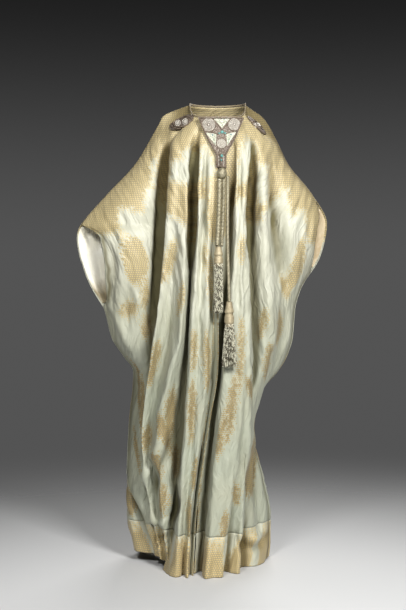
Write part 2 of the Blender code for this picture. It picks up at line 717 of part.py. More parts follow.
def add_shoulder_ornament(oval, tree):
    """An oval beaded ornament that lies over the shoulder beside the neck."""
    ahead = Vector((0, -LAY_FROM, 0))
    place = Vector((oval.x, 0, oval.height - NECK_HEIGHT))
    origin, normal, _, _ = tree.ray_cast(place + ahead, -ahead)
    for u, v in itertools.product((-1, 0, 1), repeat=2):
        step = Vector((oval.length / 4 * u, 0, oval.width / 4 * v))
        normal = normal + tree.ray_cast(place + step + ahead, -ahead)[1]
    normal.normalize()
    level = Vector((1, 0, 0))
    level = (level - normal * level.dot(normal)).normalized()
    turn = Matrix.Rotation(math.radians(oval.turn_deg), 3, normal)
    frame = (origin, turn @ level, turn @ normal.cross(level), normal)
    shares_down = np.linspace(-1, 1, OVAL_RINGS * 2 + 1)
    shares_across = np.linspace(-1, 1, OVAL_RINGS * 3 + 1)
    half_length, half_width = oval.length / 2, oval.width / 2
    across, down = np.meshgrid(shares_across, shares_down)
    a = across * np.sqrt(1 - down**2 / 2) * half_length
    b = down * np.sqrt(1 - across**2 / 2) * half_width
    places = np.stack([a, b], axis=2)
    heights = laid_on(tree, places, frame, OVAL_THICK)
    loops = []
    for row, v in enumerate(shares_down):
        loop = []
        for column, u in enumerate(shares_across):
            rise = OVAL_DOME * max(0.0, 1 - max(abs(u), abs(v)) ** 2)
            loop.append((*places[row, column], heights[row, column], rise))
        loops.append(loop)
    add_object(oval.name, plate_mesh(oval.name, loops, frame, OVAL_THICK), "beadwork")


def turned_rings(centre, profile, sides):
    """Rings of a turned piece: profile gives (radius, height) from the top down."""
    turns = [2 * math.pi * k / sides for k in range(sides)]
    x, y = centre
    return np.array(
        [[(x + r * math.cos(t), y + r * math.sin(t), z) for t in turns] for r, z in profile]
    )


def add_knot():
    """The covered knot under the plastron's tab, from which the cords hang."""
    x, y, middle = KNOT_AT
    profile = []
    for k in range(KNOT_RINGS + 1):
        angle = math.pi * (KNOT_CUT + (1 - 2 * KNOT_CUT) * k / KNOT_RINGS)
        profile.append((KNOT_RADIUS * math.sin(angle), middle + KNOT_HEIGHT / 2 * math.cos(angle)))
    rings = turned_rings((x, y), profile, KNOT_SIDES)
    mesh = ring_mesh("cord_knot", rings)
    mesh.shade_smooth()
    add_object("cord_knot", mesh, "metal_cord")


def add_cord(cord):
    """A hanging cord: a round tube along a smooth curve through its route."""
    route = np.array(cord.route)
    fine = through(route, CORD_FINE)
    length = np.concatenate([[0], np.cumsum(np.linalg.norm(np.diff(fine, axis=0), axis=1))])
    count = round(length[-1] / (CORD_STEP * cord.diameter)) + 1
    even = np.linspace(0, length[-1], count)
    points = framed(np.stack([np.interp(even, length, fine[:, k]) for k in range(3)], axis=1))
    curve = bpy.data.curves.new(cord.name, "CURVE")
    curve.dimensions = "3D"
    curve.bevel_depth = cord.diameter / 2
    curve.bevel_resolution = CORD_BEVEL
    curve.use_fill_caps = True
    spline = curve.splines.new("POLY")
    spline.points.add(len(points) - 1)
    for place, point in zip(spline.points, points):
        place.co = (*point, 1.0)
    add_object(cord.name, curve, "metal_cord")


def strand_mesh(tassel):
    """All the strands of a tassel's skirt, each rooted in the head and hanging apart."""
    made = bmesh.new()
    head_foot = tassel.top - tassel.head_length
    spacing = STRAND_SPREAD * tassel.head_radius / (len(tassel.rings) - 1)
    for ring, count in enumerate(tassel.rings):
        for k in range(count):
            turn = 2 * math.pi * (k + 0.5 * (ring % 2)) / count
            loops = []
            for step in range(STRAND_STEPS + 1):
                share = step / STRAND_STEPS
                drop = -STRAND_ROOT + share * (STRAND_ROOT + tassel.skirt_length)
                opened = max(0.0, drop / tassel.skirt_length) ** FLARE_CURVE
                wide = spacing * ring * (1 + (tassel.flare - 1) * opened)
                deep = spacing * ring * (1 + (tassel.flare_deep - 1) * opened)
                x, y = tassel.x + wide * math.cos(turn), tassel.y + deep * math.sin(turn)
                loop = []
                for side in range(STRAND_SIDES):
                    angle = turn + 2 * math.pi * side / STRAND_SIDES
                    loop.append(
                        (
                            x + STRAND_RADIUS * math.cos(angle),
                            y + STRAND_RADIUS * math.sin(angle),
                            head_foot - drop,
                        )
                    )
                loops.append([made.verts.new(p) for p in framed(loop)])
            for a, b in zip(loops, loops[1:]):
                for side in range(STRAND_SIDES):
                    after = (side + 1) % STRAND_SIDES
                    made.faces.new((a[side], a[after], b[after], b[side]))
            made.faces.new(loops[0][::-1])
            made.faces.new(loops[-1])
    bmesh.ops.recalc_face_normals(made, faces=made.faces)
    mesh = bpy.data.meshes.new(tassel.name + "_strands")
    made.to_mesh(mesh)
    made.free()
    return mesh


def add_tassel(tassel):
    """A tassel: a turned head with its hanging strands joined into it."""
    profile = [
        (ring.radius * tassel.head_radius, tassel.top - ring.drop * tassel.head_length)
        for ring in HEAD_PROFILE
    ]
    rings = turned_rings((tassel.x, tassel.y), profile, HEAD_SIDES)
    head = add_object(tassel.name, ring_mesh(tassel.name, rings), "metal_cord")
    strands = add_object(tassel.name + "_strands", strand_mesh(tassel), "metal_cord")
    strands.hide_render = True
    strands.display_type = "WIRE"
    joined = head.modifiers.new("strands", "BOOLEAN")
    joined.operation = "UNION"
    joined.object = strands


def main():
    for old in list(bpy.data.objects):
        bpy.data.objects.remove(old)
    carrier = bpy.data.objects.new("coat", None)
    bpy.context.scene.collection.objects.link(carrier)
    add_panels()
    for side in ("right", "left"):
        add_cuff_facing(side)
    add_neck_binding()
    tree = cloth_tree()
    add_plastron(tree)
    for oval in OVALS:
        add_shoulder_ornament(oval, tree)
    add_knot()
    for cord in CORDS:
        add_cord(cord)
    for tassel in TASSELS:
        add_tassel(tassel)


main()
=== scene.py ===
"""Evening coat in pale celadon and gold silk brocade: its cloth, beadwork, cords and tassels.

The coat faces -Y and +Z is up. The origin is the middle of the neck opening. Right and left are the
wearer's, so right is towards -X. Heights in the tables are above the floor that the hem reaches.
"""

import logging
import math
from dataclasses import dataclass, field
from enum import Enum
from typing import NamedTuple, Union

import bpy
import numpy as np
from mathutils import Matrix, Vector
from mathutils.bvhtree import BVHTree


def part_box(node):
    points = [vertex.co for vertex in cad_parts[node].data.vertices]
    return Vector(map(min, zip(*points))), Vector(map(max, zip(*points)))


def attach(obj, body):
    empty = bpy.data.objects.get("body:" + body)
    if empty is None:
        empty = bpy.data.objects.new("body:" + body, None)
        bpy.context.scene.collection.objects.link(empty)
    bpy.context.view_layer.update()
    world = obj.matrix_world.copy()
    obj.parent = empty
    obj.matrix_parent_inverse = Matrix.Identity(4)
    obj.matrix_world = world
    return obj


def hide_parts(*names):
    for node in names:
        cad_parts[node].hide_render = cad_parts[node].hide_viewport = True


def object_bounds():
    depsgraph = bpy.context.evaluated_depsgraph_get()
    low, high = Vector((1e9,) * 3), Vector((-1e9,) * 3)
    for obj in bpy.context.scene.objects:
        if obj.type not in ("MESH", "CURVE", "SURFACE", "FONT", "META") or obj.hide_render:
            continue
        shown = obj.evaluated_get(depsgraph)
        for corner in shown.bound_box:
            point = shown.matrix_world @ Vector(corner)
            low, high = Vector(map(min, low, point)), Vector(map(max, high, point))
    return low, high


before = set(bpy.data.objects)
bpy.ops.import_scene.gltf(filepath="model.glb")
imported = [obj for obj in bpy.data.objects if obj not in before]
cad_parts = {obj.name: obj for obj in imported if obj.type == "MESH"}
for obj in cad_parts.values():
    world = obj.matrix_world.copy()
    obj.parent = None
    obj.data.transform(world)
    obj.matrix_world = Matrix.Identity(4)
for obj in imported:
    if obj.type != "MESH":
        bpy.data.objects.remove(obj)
CAD_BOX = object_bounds()
log = logging.getLogger("evening_coat")

Colour = tuple[float, float, float]
Point = tuple[float, float, float]
Material = bpy.types.Material
Piece = bpy.types.Object
Socket = bpy.types.NodeSocket
Spot = Union[tuple[Vector, Vector], None]
Places = Union[list[tuple[float, float]], tuple[tuple[float, float], ...]]

# Sizes that several pieces share, in metres
NECK_HEIGHT = 1.43
CLOTH = 0.002
WALL = 0.0014
SEAM_GAP = 0.0003
HEM_BAND = 0.12
HEM_SEAM = 0.0004
MILLIMETRE = 0.001
BODY = "root"

# The back's fine columns: those that turn in at the right side, the rest, and the one at its middle seam
BACK_TURN_COLUMNS = 24
BACK_COLUMNS = 208
BACK_SEAM_COLUMN = 112


class Side(Enum):
    """A side of the wearer."""

    RIGHT = "right"
    LEFT = "left"


class Panel(Enum):
    """A main part of the coat that carries the woven pattern."""

    FRONT_RIGHT = "front_right"
    FRONT_LEFT = "front_left"
    BACK = "back"


class Section(NamedTuple):
    """One level section of the coat's outline."""

    height: float
    x_right: float
    y_right: float
    x_left: float
    y_left: float
    cuff_right: float
    cuff_left: float
    vent: float
    back: float
    side: float


# The level sections from the neck down to the floor, in millimetres
SECTIONS = tuple(
    Section(*(value / 1000 for value in row))
    for row in (
        (1430, -88, 0, 85, 0, 0, 0, 0, 62, 62),
        (1412, -140, 3, 112, 5, 0, 0, 0, 70, 40),
        (1396, -172, 5, 136, 8, 0, 0, 0, 78, 30),
        (1370, -186, 5, 157, 10, 0, 0, 0, 86, 28),
        (1324, -212, 5, 182, 10, 0, 0, 0, 96, 28),
        (1248, -258, 0, 220, 12, 0, 0, 0, 114, 30),
        (1148, -349, -20, 299, 17, 0, 0, 0, 130, 40),
        (1060, -424, -36, 344, 20, 0, 30, 0, 140, 50),
        (1040, -436, -38, 343, 20, 45, 34, 0, 141, 50),
        (1015, -441, -41, 339, 20, 78, 34, 0, 142, 50),
        (960, -433, -45, 324, 20, 80, 24, 0, 145, 50),
        (930, -423, -45, 309, 19, 74, 14, 0, 146, 50),
        (900, -413, -44, 288, 18, 64, 0, 0, 147, 50),
        (860, -395, -41, 263, 16, 48, 0, 0, 149, 50),
        (825, -374, -38, 250, 14, 28, 0, 0, 150, 50),
        (796, -356, -35, 243, 12, 0, 0, 0, 150, 50),
        (700, -331, -25, 234, 8, 0, 0, 0, 155, 55),
        (645, -297, -12, 217, 5, 0, 0, 0, 158, 70),
        (595, -266, -5, 188, 0, 0, 0, 0, 160, 110),
        (540, -268, 0, 140, 0, 0, 0, 0, 162, 140),
        (475, -276, 0, 105, -5, 0, 0, 0, 166, 160),
        (400, -282, 0, 107, -5, 0, 0, 0, 170, 170),
        (255, -287, -10, 142, -5, 0, 0, 4, 182, 182),
        (129, -286, -18, 164, 0, 0, 0, 58, 196, 196),
        (50, -271, -22, 163, 6, 0, 0, 66, 208, 208),
        (0, -262, -25, 158, 10, 0, 0, 66, 216, 216),
    )
)

# The folds of each front, in millimetres at five heights, from the sleeve to the front edge
FOLD_HEIGHTS = (1.30, 1.06, 0.76, 0.40, 0.0)


class Fold(NamedTuple):
    """A ridge or trough that falls down a front, and how far its foot is lifted off the floor."""

    x: tuple[int, int, int, int, int]
    y: tuple[int, int, int, int, int]
    lift: int


FOLDS = {
    Side.RIGHT: (
        Fold((-150, -157, -180, -228, -186), (-45, -58, -58, -62, -105), 30),
        Fold((-150, -164, -187, -234, -176), (-80, -150, -150, -110, -125), 26),
        Fold((-124, -128, -150, -210, -166), (-106, -154, -122, -88, -118), 20),
        Fold((-90, -99, -111, -186, -152), (-118, -174, -184, -152, -158), 10),
        Fold((-71, -79, -90, -114, -162), (-106, -112, -112, -108, -150), 4),
        Fold((-56, -58, -77, -98, -124), (-125, -172, -192, -196, -240), 0),
        Fold((-38, -46, -65, -83, -103), (-124, -152, -180, -184, -208), 0),
        Fold((-23, -30, -44, -68, -89), (-127, -172, -194, -196, -246), 0),
        Fold((-12, -16, -26, -56, -80), (-127, -164, -160, -142, -200), 0),
        Fold((-2, -5, -13, -45, -71), (-129, -174, -188, -178, -224), 0),
    ),
    Side.LEFT: (
        Fold((159, 172, 215, 104, 146), (-55, -72, -40, -30, -50), 0),
        Fold((131, 139, 147, 94, 116), (-82, -134, -130, -78, -105), 0),
        Fold((98, 96, 97, 84, 72), (-98, -94, -100, -104, -118), 0),
        Fold((90, 84, 79, 68, 56), (-118, -162, -182, -172, -200), 0),
        Fold((84, 79, 72, 58, 18), (-121, -166, -184, -176, -170), 0),
        Fold((78, 74, 64, 43, 4), (-123, -170, -192, -198, -242), 0),
        Fold((66, 66, 52, 24, -16), (-124, -166, -190, -202, -244), 0),
        Fold((53, 56, 34, 2, -34), (-126, -174, -196, -204, -256), 0),
        Fold((34, 36, 21, -22, -56), (-119, -120, -126, -126, -164), 0),
        Fold((1, -8, -16, -48, -74), (-118, -150, -164, -156, -196), 0),
    ),
}


class Crease(NamedTuple):
    """A soft ridge (rise above 0) or trough along a path of (x, height), in millimetres."""

    rise: float
    width: float
    path: tuple[tuple[int, int], ...]


# Troughs (rise below 0) also get painted shade along them in the cloth's colour
CREASES = {
    Panel.FRONT_RIGHT: (
        Crease(-24, 15, ((-160, 1340), (-172, 1220), (-178, 1080), (-186, 930), (-206, 760))),
        Crease(10, 16, ((-128, 1330), (-132, 1200), (-140, 1080))),
        Crease(-20, 11, ((-71, 1345), (-73, 1238), (-79, 1080), (-86, 930))),
        Crease(6, 9, ((-50, 1330), (-54, 1200), (-58, 1080))),
        Crease(-7, 6, ((-38, 1300), (-42, 1180), (-46, 1000))),
        Crease(-9, 12, ((-277, 77), (-222, 67), (-169, 92), (-142, 117))),
        Crease(7, 13, ((-261, 43), (-209, 46), (-154, 72))),
        Crease(12, 12, ((-220, 176), (-194, 142), (-164, 140), (-138, 164))),
        Crease(14, 12, ((-163, 440), (-184, 369), (-218, 300), (-237, 235))),
        Crease(-12, 12, ((-140, 420), (-158, 350), (-186, 280), (-204, 200))),
        Crease(13, 11, ((-117, 285), (-142, 242), (-152, 200), (-146, 165))),
        Crease(-11, 10, ((-112, 240), (-130, 190), (-150, 146), (-176, 130))),
        Crease(7, 16, ((-295, 930), (-305, 827), (-293, 736), (-270, 660))),
        Crease(-8, 15, ((-330, 1015), (-322, 918), (-330, 830))),
        Crease(7, 15, ((-340, 840), (-318, 780), (-286, 700), (-270, 650))),
        Crease(6, 18, ((-238, 850), (-258, 750), (-254, 650))),
        Crease(-6, 14, ((-262, 900), (-280, 800), (-276, 700))),
        Crease(4, 10, ((-108, 1010), (-128, 900), (-136, 800), (-150, 640))),
        Crease(-4, 9, ((-128, 1040), (-140, 940), (-152, 820))),
    ),
    Panel.FRONT_LEFT: (
        Crease(-17, 11, ((108, 1330), (103, 1210), (96, 1090), (94, 960))),
        Crease(-12, 8, ((48, 1320), (45, 1210), (38, 1090))),
        Crease(8, 12, ((82, 1320), (80, 1200), (74, 1080))),
        Crease(9, 14, ((140, 1290), (138, 1180), (134, 1060))),
        Crease(-6, 6, ((64, 1310), (66, 1200), (66, 1080))),
        Crease(-11, 13, ((50, 118), (85, 67), (121, 56), (163, 86))),
        Crease(8, 14, ((70, 112), (98, 86), (124, 82), (160, 110))),
        Crease(-7, 15, ((158, 1190), (172, 1080), (196, 930), (222, 820))),
        Crease(8, 20, ((206, 1160), (222, 1040), (238, 930), (240, 830))),
        Crease(6, 15, ((134, 1000), (150, 850), (170, 700), (180, 640))),
        Crease(-6, 14, ((200, 840), (196, 740), (176, 640), (140, 560))),
        Crease(7, 15, ((228, 760), (208, 690), (168, 620), (128, 560))),
        Crease(-5, 9, ((166, 1290), (174, 1220), (178, 1160))),
        Crease(-5, 9, ((180, 1290), (188, 1230), (192, 1170))),
        Crease(-7, 14, ((64, 430), (84, 300), (100, 180))),
        Crease(8, 16, ((96, 430), (128, 300), (146, 170))),
    ),
    Panel.BACK: (
        Crease(-13, 6, ((-290, 300), (-276, 240), (-262, 184), (-240, 138), (-222, 100), (-212, 60))),
        Crease(9, 20, ((-190, 1240), (-150, 1080), (-120, 900))),
        Crease(-8, 18, ((-150, 1260), (-112, 1100), (-90, 940))),
        Crease(9, 20, ((170, 1230), (140, 1080), (110, 900))),
        Crease(-8, 18, ((130, 1260), (100, 1100), (70, 940))),
        Crease(8, 18, ((-330, 980), (-280, 820), (-230, 640))),
        Crease(-7, 16, ((-290, 1040), (-250, 860), (-206, 680))),
        Crease(8, 18, ((270, 960), (230, 800), (170, 620))),
        Crease(-7, 16, ((230, 1040), (200, 860), (140, 660))),
        Crease(8, 16, ((-170, 260), (-110, 150), (-40, 120), (30, 160))),
        Crease(-7, 15, ((-160, 210), (-100, 100), (-30, 80), (40, 110))),
    ),
}


class Ease(NamedTuple):
    """A fold drawn sideways: its reach, and its (height, x, shift) places, in millimetres."""

    reach: float
    places: tuple[tuple[int, int, int], ...]


EASES = {
    Panel.FRONT_RIGHT: Ease(
        45,
        (
            *((0, -71, -6), (145, -62, -8), (349, -48, 4), (466, -39, 14)),
            *((600, -27, 22), (760, -13, 12), (1000, -5, 0)),
        ),
    ),
    Panel.FRONT_LEFT: Ease(
        36,
        (
            *((0, 56, 0), (200, 62, 8), (279, 64, 13), (434, 69, 21)),
            *((570, 73, 20), (711, 78, 12), (900, 82, 0)),
        ),
    ),
}


class Patch(NamedTuple):
    """A stepped area of gold, or of the pale ground inside gold, by (x, height) in millimetres."""

    gold: bool
    corners: tuple[tuple[int, int], ...]


PATCHES = {
    Panel.FRONT_RIGHT: (
        Patch(
            True,
            (
                *((-483, 1033), (-337, 1027), (-309, 1033), (-288, 1003), (-288, 1021), (-306, 1064)),
                *((-303, 1106), (-266, 1106), (-266, 1097), (-230, 1094), (-227, 1137), (-220, 1170)),
                *((-178, 1170), (-166, 1116), (-160, 1091), (-123, 1070), (-90, 1046), (-84, 1009)),
                *((-77, 1024), (-74, 1116), (-59, 1131), (-38, 1143), (-32, 1021), (-17, 1003)),
                *((-1, 1009), (17, 1282), (11, 1463), (-208, 1463), (-482, 1191)),
            ),
        ),
        Patch(
            False,
            (
                *((-80, 1294), (-111, 1273), (-111, 1255), (-141, 1243), (-147, 1191)),
                *((-117, 1182), (-80, 1173), (-62, 1204), (-59, 1252)),
            ),
        ),
        Patch(
            False,
            (
                *((-62, 1276), (-41, 1294), (-17, 1252), (-7, 1216)),
                *((-26, 1197), (-32, 1143), (-44, 1191), (-59, 1197)),
            ),
        ),
        Patch(False, ((-211, 1252), (-190, 1264), (-184, 1170), (-205, 1170), (-205, 1216))),
    ),
    Panel.FRONT_LEFT: (
        Patch(
            True,
            (
                *((-8, 1463), (-7, 1009), (29, 1021), (32, 1113), (53, 1119), (60, 1143)),
                *((87, 1131), (87, 1064), (115, 1058), (133, 1076), (145, 1113), (157, 1116)),
                *((175, 1140), (190, 1146), (190, 1161), (215, 1167), (218, 1094), (242, 1085)),
                *((242, 1100), (267, 1100), (276, 1009), (292, 997), (401, 1009), (400, 1161)),
                (132, 1463),
            ),
        ),
        Patch(
            False,
            (
                *((84, 1325), (108, 1312), (114, 1282), (96, 1228)),
                *((87, 1185), (59, 1173), (53, 1191), (59, 1258)),
            ),
        ),
        Patch(False, ((120, 1243), (148, 1237), (154, 1179), (151, 1122), (127, 1116), (117, 1161))),
    ),
    Panel.BACK: (
        Patch(
            True,
            (
                *((-483, 1040), (-360, 1030), (-360, 1084), (-300, 1084), (-300, 1130), (-236, 1130)),
                *((-236, 1092), (-180, 1092), (-180, 1040), (-110, 1040), (-110, 1096), (-50, 1096)),
                *((-50, 1030), (20, 1030), (20, 1090), (84, 1090), (84, 1040), (150, 1040)),
                *((150, 1110), (214, 1110), (214, 1060), (280, 1060), (280, 1010), (401, 1010)),
                *((400, 1161), (132, 1463), (-208, 1463), (-482, 1191)),
            ),
        ),
        Patch(False, ((-150, 1290), (-96, 1290), (-96, 1230), (-40, 1230), (-40, 1180), (-150, 1180))),
        Patch(False, ((40, 1280), (96, 1280), (96, 1236), (150, 1236), (150, 1176), (40, 1176))),
    ),
}


class Leaf(NamedTuple):
    """A woven gold leaf: its middle, length and width in millimetres, and its turn in degrees."""

    x: int
    height: int
    length: int
    width: int
    turn: int


def scattered_leaves() -> tuple[Leaf, ...]:
    """Leaves in staggered rows down the back, uneven in size and turn."""
    chance = np.random.default_rng(7)
    found = []
    for row, height in enumerate(range(190, 1000, 150)):
        for x in range(-300 + 75 * (row % 2), 300, 150):
            length, width = 120 + 70 * chance.random(), 40 + 44 * chance.random()
            place = x + chance.integers(-22, 23), height + chance.integers(-30, 31)
            turn = chance.integers(-26, 27)
            found.append(Leaf(*(int(value) for value in (*place, length, width, turn))))
    return tuple(found)


LEAVES = {
    Panel.FRONT_RIGHT: (
        Leaf(-247, 943, 170, 100, -12),
        Leaf(-281, 791, 110, 34, -28),
        Leaf(-217, 839, 90, 36, -6),
        Leaf(-144, 943, 150, 44, -14),
        Leaf(-123, 827, 110, 36, -12),
        Leaf(-190, 633, 150, 48, -6),
        Leaf(-141, 474, 170, 56, 4),
        Leaf(-242, 461, 150, 56, 10),
        Leaf(-193, 320, 80, 46, 0),
        Leaf(-169, 216, 120, 40, -18),
        Leaf(-126, 333, 90, 36, 6),
        Leaf(-68, 308, 100, 30, 0),
        Leaf(-68, 675, 120, 28, 0),
        Leaf(-74, 492, 190, 34, 2),
        Leaf(-81, 166, 150, 40, 10),
        Leaf(-23, 639, 180, 40, 4),
        Leaf(-17, 882, 170, 36, 2),
        Leaf(-47, 964, 90, 24, 0),
        Leaf(-214, 736, 90, 40, -10),
        Leaf(-264, 354, 80, 34, 8),
        Leaf(-214, 400, 90, 46, -15),
        Leaf(-255, 556, 100, 50, 20),
        Leaf(-160, 420, 110, 60, 30),
    ),
    Panel.FRONT_LEFT: (
        Leaf(44, 498, 200, 36, 2),
        Leaf(8, 431, 150, 28, 6),
        Leaf(54, 240, 80, 44, -30),
        Leaf(23, 154, 90, 36, -4),
        Leaf(112, 308, 210, 120, -12),
        Leaf(108, 547, 120, 50, -40),
        Leaf(160, 633, 130, 46, -14),
        Leaf(129, 748, 90, 36, 10),
        Leaf(199, 736, 110, 56, 0),
        Leaf(217, 858, 90, 40, -16),
        Leaf(253, 930, 150, 70, 14),
        Leaf(74, 991, 80, 30, 0),
        Leaf(65, 706, 150, 26, 0),
        Leaf(65, 626, 110, 26, 0),
        Leaf(133, 431, 80, 30, -20),
    ),
    Panel.BACK: scattered_leaves(),
}


class Value:
    """A number that a material works out, with arithmetic that adds Math nodes."""

    def __init__(self, shader: "Shader", socket: Socket) -> None:
        """Wrap one output socket of a shader's node."""
        self.shader = shader
        self.socket = socket

    def math(self, operation: str, *others: "Number") -> "Value":
        """This value and others through one Math node."""
        return self.shader.math(operation, self, *others)

    def __add__(self, other: "Number") -> "Value":
        """The sum."""
        return self.math("ADD", other)

    __radd__ = __add__

    def __sub__(self, other: "Number") -> "Value":
        """The difference."""
        return self.math("SUBTRACT", other)

    def __rsub__(self, other: "Number") -> "Value":
        """The difference, with this value taken away."""
        return self.shader.math("SUBTRACT", other, self)

    def __mul__(self, other: "Number") -> "Value":
        """The product."""
        return self.math("MULTIPLY", other)

    __rmul__ = __mul__

    def __truediv__(self, other: "Number") -> "Value":
        """The quotient."""
        return self.math("DIVIDE", other)

    def __rtruediv__(self, other: "Number") -> "Value":
        """The quotient, with this value below."""
        return self.shader.math("DIVIDE", other, self)

    def ramp(self, low: float, high: float) -> "Value":
        """A smooth step from 0 at low to 1 at high."""
        inputs = {"Value": self, "From Min": low, "From Max": high}
        made = self.shader.node("ShaderNodeMapRange", {"interpolation_type": "SMOOTHSTEP"}, inputs)
        return Value(self.shader, made.outputs["Result"])


Number = Union[Value, float]
Feed = Union[Value, Socket, float, tuple]
Normal = Union[Socket, None]


class Shader:
    """A material under construction."""

    def __init__(self, name: str) -> None:
        """Start a material with one Principled surface."""
        self.material = bpy.data.materials.new(name)
        self.material.use_nodes = True
        self.tree = self.material.node_tree
        self.surface = self.tree.nodes["Principled BSDF"]

    def feed(self, socket: Socket, value: Feed) -> None:
        """Link a value to a socket, or set the socket's own number or colour."""
        if isinstance(value, Value):
            self.tree.links.new(value.socket, socket)
        elif isinstance(value, Socket):
            self.tree.links.new(value, socket)
        elif isinstance(value, tuple) and len(value) == 3 and socket.type == "RGBA":
            socket.default_value = (*value, 1.0)
        else:
            socket.default_value = value

    def node(self, kind: str, settings: dict, inputs: dict) -> bpy.types.Node:
        """Add one node.

        Args:
            kind: The node's type.
            settings: Its properties, set first.
            inputs: Values or links of its sockets, by name or number.

        Returns:
            The new node.
        """
        made = self.tree.nodes.new(kind)
        for name, value in settings.items():
            setattr(made, name, value)
        for name, value in inputs.items():
            self.feed(made.inputs[name], value)
        return made

    def math(self, operation: str, *values: Number) -> Value:
        """One Math node over the values."""
        made = self.node("ShaderNodeMath", {"operation": operation}, dict(enumerate(values)))
        return Value(self, made.outputs[0])

    def mix(self, first: Feed, second: Feed, share: Number, blend: str = "MIX") -> Socket:
        """A colour between two by share, or the first multiplied by the second."""
        settings = {"data_type": "RGBA", "blend_type": blend, "clamp_factor": True}
        return self.node("ShaderNodeMix", settings, {0: share, 6: first, 7: second}).outputs[2]

    def axes(self, source: Socket) -> tuple[Value, Value, Value]:
        """The three parts of a vector."""
        made = self.node("ShaderNodeSeparateXYZ", {}, {0: source})
        return tuple(Value(self, out) for out in made.outputs)

    def vector(self, x: Number, y: Number, z: Number = 0.0) -> Socket:
        """A vector of three parts."""
        return self.node("ShaderNodeCombineXYZ", {}, {0: x, 1: y, 2: z}).outputs[0]

    def cloth_place(self) -> tuple[Value, Value]:
        """Where a point lies on the flat cloth, in metres."""
        made = self.node("ShaderNodeUVMap", {"uv_map": "cloth"}, {})
        across, along, _ = self.axes(made.outputs[0])
        return across, along

    def object_place(self) -> Socket:
        """Where a point lies in the piece's own frame, in metres."""
        return self.node("ShaderNodeTexCoord", {}, {}).outputs["Object"]

    def attribute(self, name: str) -> Value:
        """A number that the mesh carries."""
        made = self.node("ShaderNodeAttribute", {"attribute_name": name}, {})
        return Value(self, made.outputs["Fac"])

    def noise(self, vector: Socket, scale: float, detail: float = 2.0) -> Value:
        """Soft noise from 0 to 1."""
        inputs = {"Vector": vector, "Scale": scale, "Detail": detail}
        return Value(self, self.node("ShaderNodeTexNoise", {}, inputs).outputs[0])

    def cells(self, vector: Socket, scale: float) -> Value:
        """The distance to the nearest of many scattered points."""
        made = self.node("ShaderNodeTexVoronoi", {}, {"Vector": vector, "Scale": scale})
        return Value(self, made.outputs["Distance"])

    def chance(self, x: Number, y: Number) -> Value:
        """A random number from 0 to 1 for each pair of whole numbers."""
        inputs = {"Vector": self.vector(x, y)}
        made = self.node("ShaderNodeTexWhiteNoise", {"noise_dimensions": "2D"}, inputs)
        return Value(self, made.outputs["Value"])

    def bump(self, height: Value, depth: float, strength: float, under: Normal = None) -> Socket:
        """A normal that follows a height map, over another bump or none."""
        inputs = {"Height": height, "Distance": depth, "Strength": strength}
        if under is not None:
            inputs["Normal"] = under
        return self.node("ShaderNodeBump", {}, inputs).outputs[0]

    def finish(self, **sockets: Feed) -> Material:
        """Set the surface's sockets, named with underscores, and give the material."""
        for name, value in sockets.items():
            title = name.replace("_", " ").title().replace("Ior", "IOR")
            self.feed(self.surface.inputs[title], value)
        return self.material


